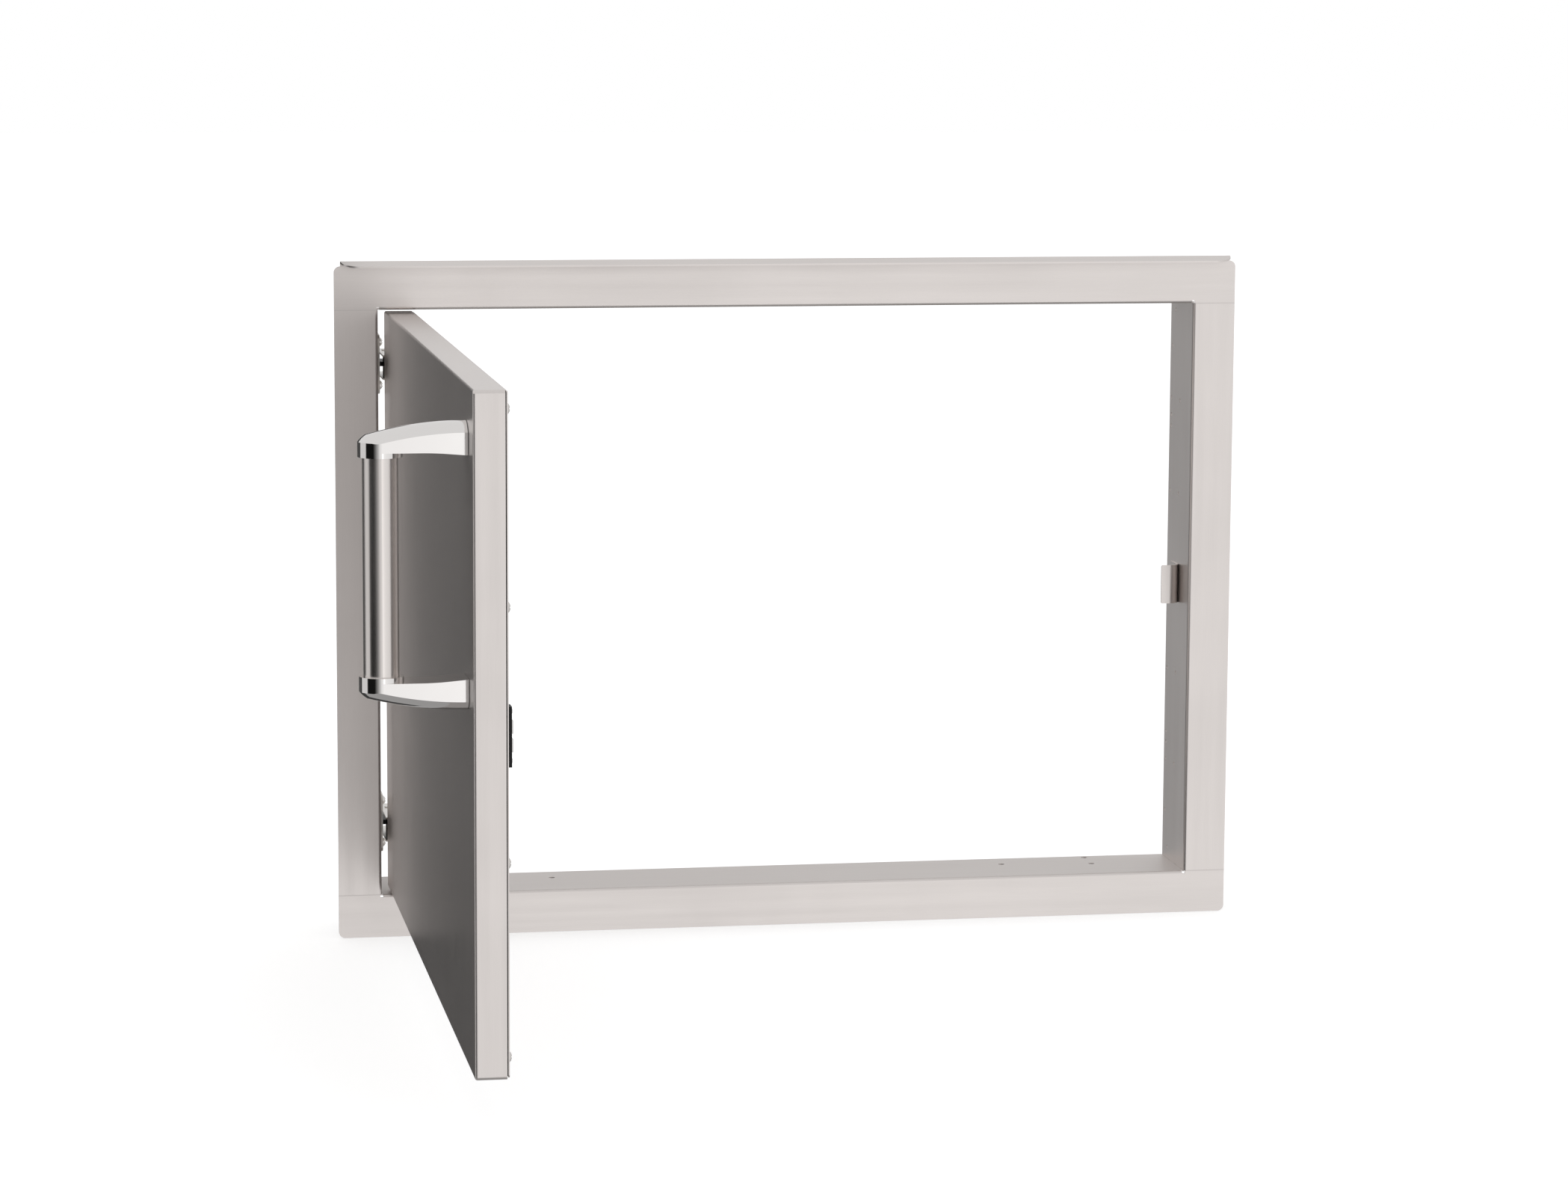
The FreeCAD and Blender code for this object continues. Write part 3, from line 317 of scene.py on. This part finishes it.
def brushed_grain():
    """Brush marks: fine and broad noise on stretched coordinates."""
    group, given, result = new_group(
        "Brushed grain",
        [("Vector", "Vector", None), ("Colour", "Color", (0.7, 0.7, 0.7, 1.0)),
         ("Tone", "Float", 0.06), ("Roughness", "Float", 0.3), ("Spread", "Float", 0.06)],
        [("Colour", "Color"), ("Roughness", "Float"), ("Height", "Float")])
    fine_share, broad_share = 0.7, 0.3
    fine = noise(group, Vector=given["Vector"], Scale=1.0, Detail=3.0, Roughness=0.62)
    broad = noise(group, Vector=given["Vector"], Scale=0.11, Detail=2.0, Roughness=0.5)
    mixed = maths(group, "ADD", maths(group, "MULTIPLY", fine, fine_share),
                  maths(group, "MULTIPLY", broad, broad_share))
    return put_out(group, given, result, mixed, broad, fine)


def fine_speckle():
    """Plated, cast or moulded skin: round speckles."""
    group, given, result = new_group(
        "Fine speckle",
        [("Vector", "Vector", None), ("Size", "Float", 1800.0),
         ("Colour", "Color", (0.5, 0.5, 0.5, 1.0)), ("Tone", "Float", 0.1),
         ("Roughness", "Float", 0.4), ("Spread", "Float", 0.1)],
        [("Colour", "Color"), ("Roughness", "Float"), ("Height", "Float")])
    grit = noise(group, Vector=given["Vector"], Scale=given["Size"], Detail=2.0, Roughness=0.5)
    return put_out(group, given, result, grit, grit, grit)


def seam_line():
    """Dressed weld: a mask along two level lines, as far above the middle as below it."""
    group, given, result = new_group(
        "Seam line",
        [("Vector", "Vector", None), ("Height", "Float", 0.2), ("Width", "Float", 0.0005)],
        [("Mask", "Float")])
    height = fill(add(group, "ShaderNodeSeparateXYZ"), Vector=given["Vector"]).outputs["Z"]
    above = maths(group, "SUBTRACT", maths(group, "ABSOLUTE", height), given["Height"])
    share = maths(group, "DIVIDE", maths(group, "ABSOLUTE", above), given["Width"])
    fill(result, Mask=maths(group, "SUBTRACT", 1.0, share, clamp=True))
    return group


def soft_haze():
    """Handling haze: broad cloudy patches, as a mask between 0 and 1."""
    group, given, result = new_group(
        "Soft haze", [("Vector", "Vector", None), ("Size", "Float", 9.0)], [("Mask", "Float")])
    clear, cloudy = 0.35, 0.7
    cloud = noise(group, Vector=given["Vector"], Scale=given["Size"], Detail=4.0, Roughness=0.55,
                  Distortion=0.6)
    fill(result, Mask=soft_step(group, cloud, clear, cloudy))
    return group


def place_group(tree, name, build, **values):
    """Place a shared group, building it the first time, and feed its inputs."""
    group = bpy.data.node_groups.get(name) or build()
    return fill(add(tree, "ShaderNodeGroup", node_tree=group), **values).outputs


# Finishes

def start_finish(name, metallic):
    """New material with a Principled shader, and its Object coordinates."""
    material = bpy.data.materials.new(name)
    material.use_nodes = True
    tree = material.node_tree
    shader = fill(tree.nodes["Principled BSDF"], Metallic=metallic)
    return material, tree, shader, add(tree, "ShaderNodeTexCoord").outputs["Object"]


def raise_height(tree, shader, height, strength, distance):
    """Turn a height into the shader's normal."""
    bump = fill(add(tree, "ShaderNodeBump"), Strength=strength, Distance=distance, Height=height)
    fill(shader, Normal=bump.outputs[0])


def brushed_finish(name, along, colour, roughness, length, width, tone, seam=None, depth=0.35):
    """Brushed metal with its marks along one axis, and the seam line where it is asked for."""
    material, tree, shader, place = start_finish(name, metallic=1.0)
    stretch = add(tree, "ShaderNodeMapping", vector_type="POINT")
    fill(stretch, Vector=place,
         Scale=[1.0 / (length if axis == along else width) for axis in range(3)])
    grain = place_group(tree, "Brushed grain", brushed_grain, Vector=stretch.outputs[0],
                        Colour=colour, Tone=tone, Roughness=roughness, Spread=0.10)
    haze = place_group(tree, "Soft haze", soft_haze, Vector=place, Size=7.0)["Mask"]
    tint = grain["Colour"]
    rough = maths(tree, "ADD", grain["Roughness"], maths(tree, "MULTIPLY", haze, HAZE_BLUR))
    if seam is not None:
        seam_height, seam_width = seam
        line = place_group(tree, "Seam line", seam_line, Vector=place, Height=seam_height,
                           Width=seam_width)["Mask"]
        rough = maths(tree, "ADD", rough, maths(tree, "MULTIPLY", line, WELD_BLUR))
        level = maths(tree, "SUBTRACT", 1.0, maths(tree, "MULTIPLY", line, WELD_DULLING))
        tint = scaled(tree, tint, level)
    fill(shader, Base_Color=tint, Roughness=rough)
    raise_height(tree, shader, grain["Height"], depth, MARK_HEIGHT)
    return material


def speckled_finish(name, colour, metallic, roughness, size, tone, spread, depth=0.2,
                    distance=MARK_HEIGHT, shine=0.5):
    """Plated, cast or moulded finish."""
    material, tree, shader, place = start_finish(name, metallic)
    skin = place_group(tree, "Fine speckle", fine_speckle, Vector=place, Size=size,
                       Colour=colour, Tone=tone, Roughness=roughness, Spread=spread)
    fill(shader, Base_Color=skin["Colour"], Roughness=skin["Roughness"], Specular_IOR_Level=shine)
    raise_height(tree, shader, skin["Height"], depth, distance)
    return material


def polished_finish(name, colour, roughness):
    """Polished metal with a faint handling haze."""
    material, tree, shader, place = start_finish(name, metallic=1.0)
    skin = place_group(tree, "Fine speckle", fine_speckle, Vector=place, Size=60.0,
                       Colour=colour, Tone=0.02, Roughness=roughness, Spread=0.02)
    haze = place_group(tree, "Soft haze", soft_haze, Vector=place, Size=40.0)["Mask"]
    rough = maths(tree, "ADD", skin["Roughness"], maths(tree, "MULTIPLY", haze, HAZE_BLUR))
    fill(shader, Base_Color=skin["Colour"], Roughness=rough)
    return material


def dress(material, *nodes):
    """Give a material to the named CAD nodes."""
    for name in nodes:
        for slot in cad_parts[name].material_slots:
            slot.material = material


def hinge_nodes(*parts):
    """Names of the like parts of both hinges."""
    return [side + "_hinge_" + part for side in HINGES for part in parts]


# Meshes worked out as arrays

def mesh_piece(name, points, faces, material, body, slot, *replaced):
    """Smooth-shaded piece from arrays, which rides on its body in place of CAD nodes."""
    mesh = bpy.data.meshes.new(name)
    mesh.from_pydata(points.tolist(), [], faces)
    mesh.update()
    mesh.polygons.foreach_set("use_smooth", np.ones(len(mesh.polygons), dtype=bool))
    mesh.set_sharp_from_angle(angle=SHARP_ANGLE)
    mesh.materials.append(material)
    piece = bpy.data.objects.new(name, mesh)
    bpy.context.scene.collection.objects.link(piece)
    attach(piece, body)
    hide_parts(*replaced)
    return piece


def screw_profile(head_radius, head_height, shank_radius, length):
    """Half outline of a screw as (distance along, radius), and the number of rows in its head.

    The head is a dome of one arc on a flat seat. The shank starts at its full radius, and has
    thread ridges, as a sine of the distance, and a bevelled end. Core, ridge and tip are
    shares of the shank's radius.
    """
    head_rows, shank_rows, thread_pitch = 25, 34, 0.0007
    core, ridge, tip_length, tip_radius = 0.93, 0.07, 0.6, 0.45
    ball = (head_radius ** 2 + head_height ** 2) / (2.0 * head_height)
    reach = math.asin(min(1.0, head_radius / ball))
    turn = np.linspace(0.0, reach, head_rows + 1)[1:]
    dome = np.stack([head_height - ball * (1.0 - np.cos(turn)), ball * np.sin(turn)], axis=1)
    run = np.linspace(0.0, length - tip_length * shank_radius, shank_rows)
    radii = shank_radius * (core + ridge * np.sin(run / thread_pitch * 2.0 * math.pi))
    radii[0] = shank_radius
    shank = np.stack([-run, radii], axis=1)
    tip = np.array([[-length, tip_radius * shank_radius]])
    return np.concatenate([dome, shank, tip]), head_rows


def screws(places, head_radius, head_height, shank_radius, length, reach, width, segments):
    """Screws whose heads look along +X, each standing at (x, y, z) of its seat.

    The outline is turned about the screw's axis. Inside the head the height drops by the
    cross recess: its depth, times a soft step of the smaller of |a| and |b| against half
    the arm's width, times a soft step of the radius against the arm's reach, times a taper
    that makes it shallower outwards. The edge is a share of the head's radius, and the
    depth a share of its height.
    """
    edge, depth, taper = 0.05, 0.55, 0.45
    outline, head_rows = screw_profile(head_radius, head_height, shank_radius, length)
    rows = len(outline)
    angle = np.linspace(0.0, 2.0 * math.pi, segments, endpoint=False)
    a = outline[:, 1:] * np.cos(angle)
    b = outline[:, 1:] * np.sin(angle)
    radius = np.hypot(a, b)
    soft = edge * head_radius
    arm = np.clip((0.5 * width * head_radius - np.minimum(abs(a), abs(b))) / soft + 0.5, 0.0, 1.0)
    inside = np.clip((reach * head_radius - radius) / soft + 0.5, 0.0, 1.0)
    slope = np.clip(1.0 - taper * radius / (reach * head_radius), 0.0, 1.0)
    drop = depth * head_height
    in_head = (np.arange(rows) < head_rows)[:, None]
    along = np.repeat(outline[:, :1], segments, axis=1)
    along = along - np.where(in_head, drop * arm * inside * slope, 0.0)
    ring = np.stack([along, a, b], axis=2).reshape(-1, 3)
    one = np.concatenate([ring, [[head_height - drop, 0.0, 0.0], [-length, 0.0, 0.0]]])
    step = np.arange(segments)
    following = (step + 1) % segments
    row = np.arange(rows - 1)[:, None] * segments
    sides = np.stack([row + step, row + segments + step, row + segments + following,
                      row + following], axis=2).reshape(-1, 4)
    last = (rows - 1) * segments
    top_middle, end_middle = rows * segments, rows * segments + 1
    top = np.stack([np.full(segments, top_middle), step, following], axis=1)
    end = np.stack([np.full(segments, end_middle), last + following, last + step], axis=1)
    points = np.concatenate([one + np.array(place) for place in places])
    faces = []
    for number in range(len(places)):
        shift = number * len(one)
        faces += (sides + shift).tolist() + (top + shift).tolist() + (end + shift).tolist()
    return points, faces


def screw_set(node, body, size, pair_y, pair_z, rows=(), length=None):
    """Detailed screws in place of a CAD node's plain ones.

    Along Y and Z they stand in a pair at the ends of the node's box, or else in its middle.
    Rows are more heights between the ends. The length is the node's own where none is given.
    """
    head_radius, head_height, shank_radius = size
    low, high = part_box(node)
    seat = high.x - head_height
    ys = (low.y + head_radius, high.y - head_radius) if pair_y else (0.5 * (low.y + high.y),)
    zs = (low.z + head_radius, high.z - head_radius) if pair_z else (0.5 * (low.z + high.z),)
    places = [(seat, y, z) for y in ys for z in (*rows, *zs)]
    look = bpy.context.scene.access_door_hardware
    points, faces = screws(places, head_radius, head_height, shank_radius, length or seat - low.x,
                           look.recess_reach, look.recess_width, look.segments)
    material = bpy.data.materials.get("Screw steel") or polished_finish(
        "Screw steel", SCREW_STEEL, roughness=0.20)
    name = node.removesuffix("s") + "_set"
    return mesh_piece(name, points, faces, material, body, "screw_steel", node)


# Operators

class ACCESSDOOR_OT_camera(bpy.types.Operator):
    """Place the camera at the photograph's viewpoint"""

    bl_idname = "access_door.camera"
    bl_label = "Camera"

    def execute(self, context):
        studio = context.scene.access_door_studio
        level = math.cos(studio.pitch)
        forward = Vector((math.sin(studio.yaw) * level, math.cos(studio.yaw) * level,
                          -math.sin(studio.pitch)))
        right = Vector((math.cos(studio.yaw), -math.sin(studio.yaw), 0.0))
        up = right.cross(forward)
        leaning_right = math.cos(studio.roll) * right + math.sin(studio.roll) * up
        leaning_up = math.cos(studio.roll) * up - math.sin(studio.roll) * right
        camera = bpy.data.cameras.new("Camera")
        camera.lens = studio.lens
        camera.sensor_width = 36.0
        camera.sensor_fit = "HORIZONTAL"
        camera.clip_end = 60.0
        viewer = bpy.data.objects.new("Camera", camera)
        turn = Matrix((leaning_right, leaning_up, -forward)).transposed().to_4x4()
        viewer.matrix_world = Matrix.Translation(studio.camera_place) @ turn
        context.scene.collection.objects.link(viewer)
        context.scene.camera = viewer
        return {"FINISHED"}


class ACCESSDOOR_OT_frame(bpy.types.Operator):
    """Finish the four frame sheets and the strike plate"""

    bl_idname = "access_door.frame"
    bl_label = "Frame"

    def execute(self, context):
        steel = context.scene.access_door_steel
        brushing = (steel.colour, steel.roughness, steel.grain_length, steel.grain_width,
                    steel.grain_tone, (steel.seam_height, steel.seam_width))
        dress(brushed_finish("Frame steel, brushed across", ACROSS, *brushing),
              "top_rail", "bottom_rail")
        dress(brushed_finish("Frame steel, brushed up", UP, *brushing),
              "left_stile", "right_stile")
        dress(brushed_finish("Strike steel", UP, steel.colour, roughness=0.32, length=0.008,
                             width=0.0005, tone=0.05),
              "strike_plate")
        return {"FINISHED"}


class ACCESSDOOR_OT_door(bpy.types.Operator):
    """Finish the door's pan, its liner, the strip between them and the plates inside"""

    bl_idname = "access_door.door"
    bl_label = "Door"

    def execute(self, context):
        steel = context.scene.access_door_steel
        grain = (steel.grain_length, steel.grain_width, steel.grain_tone)
        liner_roughness = steel.roughness + 0.04
        dress(brushed_finish("Door steel", UP, steel.colour, steel.door_roughness, *grain),
              "door_skin")
        dress(brushed_finish("Liner steel", UP, steel.colour, liner_roughness, *grain),
              "door_liner")
        dress(brushed_finish("Inner steel", ACROSS, INNER_STEEL, roughness=0.42, length=0.01,
                             width=0.0008, tone=0.12),
              "hinge_backing_plates", "handle_backing_plate")
        dress(speckled_finish("Seal strip", SEAL_BLACK, metallic=0.0, roughness=0.75, size=2600.0,
                              tone=0.5, spread=0.15, depth=0.5, distance=0.00006),
              "door_seal")
        return {"FINISHED"}


class ACCESSDOOR_OT_handle(bpy.types.Operator):
    """Finish the pull: polished arms, a satin tube and the pads"""

    bl_idname = "access_door.handle"
    bl_label = "Handle"

    def execute(self, context):
        look = context.scene.access_door_handle
        dress(polished_finish("Polished arms", look.chrome, roughness=0.06),
              "handle_upper_arm", "handle_lower_arm")
        dress(brushed_finish("Satin tube", UP, look.satin, look.satin_roughness, length=0.03,
                             width=0.0003, tone=0.05, depth=0.2),
              "handle_tube")
        dress(speckled_finish("Handle pads", look.pad, metallic=0.0, roughness=0.45, size=2200.0,
                              tone=0.12, spread=0.1),
              "handle_pads")
        dress(polished_finish("Handle screws", HANDLE_SCREW_STEEL, roughness=0.25),
              "handle_screws")
        return {"FINISHED"}


class ACCESSDOOR_OT_hinges(bpy.types.Operator):
    """Finish both concealed hinges"""

    bl_idname = "access_door.hinges"
    bl_label = "Hinges"

    def execute(self, context):
        look = context.scene.access_door_hardware
        dress(speckled_finish("Nickel plate", look.nickel, metallic=1.0, roughness=0.24, size=900.0,
                              tone=0.05, spread=0.08),
              *hinge_nodes("arm", "cup", "outer_link", "inner_link"))
        dress(speckled_finish("Nickel on casting", look.nickel, metallic=1.0, roughness=0.34,
                              size=1500.0, tone=0.08, spread=0.12, depth=0.4, distance=0.00004),
              *hinge_nodes("plate"))
        dress(polished_finish("Hinge pins", PIN_STEEL, roughness=0.18),
              *hinge_nodes("arm_pins", "clip_pin", "outer_link_pin", "inner_link_pins"))
        dress(speckled_finish("Black bar", look.black, metallic=0.0, roughness=0.38, size=1600.0,
                              tone=0.3, spread=0.1, shine=0.2),
              *hinge_nodes("bar"))
        return {"FINISHED"}


class ACCESSDOOR_OT_catch(bpy.types.Operator):
    """Finish the magnetic catch"""

    bl_idname = "access_door.catch"
    bl_label = "Catch"

    def execute(self, context):
        look = context.scene.access_door_hardware
        dress(speckled_finish("Catch body", look.black, metallic=0.0, roughness=0.42, size=2400.0,
                              tone=0.35, spread=0.12, depth=0.4, distance=0.00003, shine=0.1),
              "catch_body")
        dress(brushed_finish("Catch poles", UP, POLE_STEEL, roughness=0.30, length=0.004,
                             width=0.0004, tone=0.10),
              "catch_poles")
        dress(speckled_finish("Magnet", MAGNET_GREY, metallic=0.0, roughness=0.62, size=3200.0,
                              tone=0.4, spread=0.2, depth=0.5, distance=0.00004),
              "catch_magnet")
        return {"FINISHED"}


class ACCESSDOOR_OT_screws(bpy.types.Operator):
    """Cut a cross recess into every screw that shows"""

    bl_idname = "access_door.screws"
    bl_label = "Screws"

    def execute(self, context):
        screw_set("liner_screws", "door", LINER_SCREW, pair_y=True, pair_z=True,
                  rows=(-LINER_SCREW_ROW, LINER_SCREW_ROW), length=LINER_SCREW_LENGTH)
        for side in HINGES:
            screw_set(side + "_hinge_plate_screws", "frame", PLATE_SCREW, pair_y=False, pair_z=True)
            screw_set(side + "_hinge_cup_screws", "door", CUP_SCREW, pair_y=False, pair_z=True)
            screw_set(side + "_hinge_adjusting_screws", "frame", ADJUSTING_SCREW, pair_y=True,
                      pair_z=False)
        screw_set("catch_screws", "door", CATCH_SCREW, pair_y=False, pair_z=True)
        return {"FINISHED"}


class ACCESSDOOR_OT_stage(bpy.types.Operator):
    """Lay the pale floor and set the soft studio light"""

    bl_idname = "access_door.stage"
    bl_label = "Stage"

    def execute(self, context):
        self.lay_floor(context.scene.access_door_studio)
        self.stand_screen()
        self.surround(context)
        context.scene.view_settings.view_transform = "Standard"
        return {"FINISHED"}

    def flat_sheet(self, name, corners, colour, **finish):
        """Flat sheet of one plain finish."""
        mesh = bpy.data.meshes.new(name)
        mesh.from_pydata(corners, [], [(0, 1, 2, 3)])
        material = bpy.data.materials.new(name)
        material.use_nodes = True
        fill(material.node_tree.nodes["Principled BSDF"], Base_Color=colour, **finish)
        mesh.materials.append(material)
        sheet = bpy.data.objects.new(name, mesh)
        bpy.context.scene.collection.objects.link(sheet)
        return sheet

    def lay_floor(self, studio):
        """Flat floor just under the object, which keeps its shadow and reads as white."""
        gap = 0.0002
        reach = studio.floor_reach
        height = CAD_BOX[0].z - gap
        corners = [(x * reach, y * reach, height) for x, y in ((-1, -1), (1, -1), (1, 1), (-1, 1))]
        floor = self.flat_sheet("Floor", corners, studio.floor, Roughness=0.9,
                                Specular_IOR_Level=0.0)
        tree = floor.active_material.node_tree
        seen = add(tree, "ShaderNodeLightPath").outputs["Is Camera Ray"]
        glow = fill(add(tree, "ShaderNodeEmission"),
                    Strength=maths(tree, "MULTIPLY", seen, studio.floor_lift))
        both = add(tree, "ShaderNodeAddShader")
        feed(both.inputs[0], tree.nodes["Principled BSDF"].outputs[0])
        feed(both.inputs[1], glow.outputs[0])
        fill(tree.nodes["Material Output"], Surface=both.outputs[0])
        floor.visible_glossy = False

    def stand_screen(self):
        """Dark screen behind the hinge side, which only reflections see."""
        right, left, low, high, back = -0.303, -1.35, -1.1, 0.5, 0.36
        dark = (0.1, 0.1, 0.1, 1.0)
        corners = [(right, back, low), (left, back, low), (left, back, high), (right, back, high)]
        screen = self.flat_sheet("Dark screen", corners, dark, Roughness=1.0)
        screen.visible_camera = False
        screen.visible_diffuse = False
        screen.visible_shadow = False

    def surround(self, context):
        """White for the camera; for the light, a pale room with darker screens on the left."""
        world = bpy.data.worlds.new("Studio")
        context.scene.world = world
        world.use_nodes = True
        tree = world.node_tree
        tree.nodes.clear()
        sight = add(tree, "ShaderNodeTexCoord").outputs["Generated"]
        parts = fill(add(tree, "ShaderNodeSeparateXYZ"), Vector=sight).outputs
        turn = maths(tree, "ARCTAN2", parts["X"], maths(tree, "MULTIPLY", parts["Y"], -1.0))
        share = maths(tree, "ADD", maths(tree, "DIVIDE", turn, 2.0 * math.pi), 0.5)
        height = maths(tree, "SUBTRACT", parts["Z"], self.round_the_room(tree, share, ROOM_HEIGHTS))
        room = self.round_the_room(tree, share, ROOM_LEVELS)
        room = mix_to(tree, soft_step(tree, height, *CEILING_BLEND), room, CEILING)
        room = mix_to(tree, soft_step(tree, parts["Z"], *GROUND_BLEND), room, GROUND)
        seen = add(tree, "ShaderNodeLightPath").outputs["Is Camera Ray"]
        light = fill(add(tree, "ShaderNodeBackground"), Color=mix_to(tree, seen, room, WHITE))
        fill(add(tree, "ShaderNodeOutputWorld"), Surface=light.outputs[0])

    def round_the_room(self, tree, share, stops):
        """Value that changes with the direction, given as (degrees from the front, value)."""
        ramp = add(tree, "ShaderNodeFloatCurve")
        curve = ramp.mapping.curves[0]
        top = max(value for degrees, value in stops)
        while len(curve.points) < len(stops):
            curve.points.new(0.5, 0.5)
        for point, (degrees, value) in zip(curve.points, stops):
            point.location = (degrees / 360.0 + 0.5, value / top)
            point.handle_type = "VECTOR"
        ramp.mapping.update()
        fill(ramp, Value=share)
        return maths(tree, "MULTIPLY", ramp.outputs[0], top)


class ACCESSDOOR_PT_panel(bpy.types.Panel):
    """Lists the pieces and their values"""

    bl_idname = "ACCESSDOOR_PT_panel"
    bl_label = "Access door"
    bl_space_type = "VIEW_3D"
    bl_region_type = "UI"
    bl_category = "Access door"

    def draw(self, context):
        for attribute in GROUPS:
            group = getattr(context.scene, attribute)
            box = self.layout.box()
            for name in group.bl_rna.properties.keys():
                if name not in ("rna_type", "name"):
                    box.prop(group, name)
        for operator in OPERATORS:
            self.layout.operator(operator.bl_idname)


GROUPS = {
    "access_door_steel": AccessDoorSteel,
    "access_door_handle": AccessDoorHandle,
    "access_door_hardware": AccessDoorHardware,
    "access_door_studio": AccessDoorStudio,
}
OPERATORS = (
    ACCESSDOOR_OT_camera, ACCESSDOOR_OT_frame, ACCESSDOOR_OT_door, ACCESSDOOR_OT_handle,
    ACCESSDOOR_OT_hinges, ACCESSDOOR_OT_catch, ACCESSDOOR_OT_screws, ACCESSDOOR_OT_stage,
)
CLASSES = (*GROUPS.values(), *OPERATORS, ACCESSDOOR_PT_panel)


def register():
    """Register the classes and hang the values on the scene."""
    for item in CLASSES:
        bpy.utils.register_class(item)
    for name, item in GROUPS.items():
        setattr(bpy.types.Scene, name, PointerProperty(type=item))


def unregister():
    """Take everything back in the opposite order."""
    for name in reversed(GROUPS):
        delattr(bpy.types.Scene, name)
    for item in reversed(CLASSES):
        bpy.utils.unregister_class(item)


def main():
    register()
    for operator in OPERATORS:
        getattr(bpy.ops.access_door, operator.bl_idname.split(".")[1])()


if __name__ == "__main__":
    main()
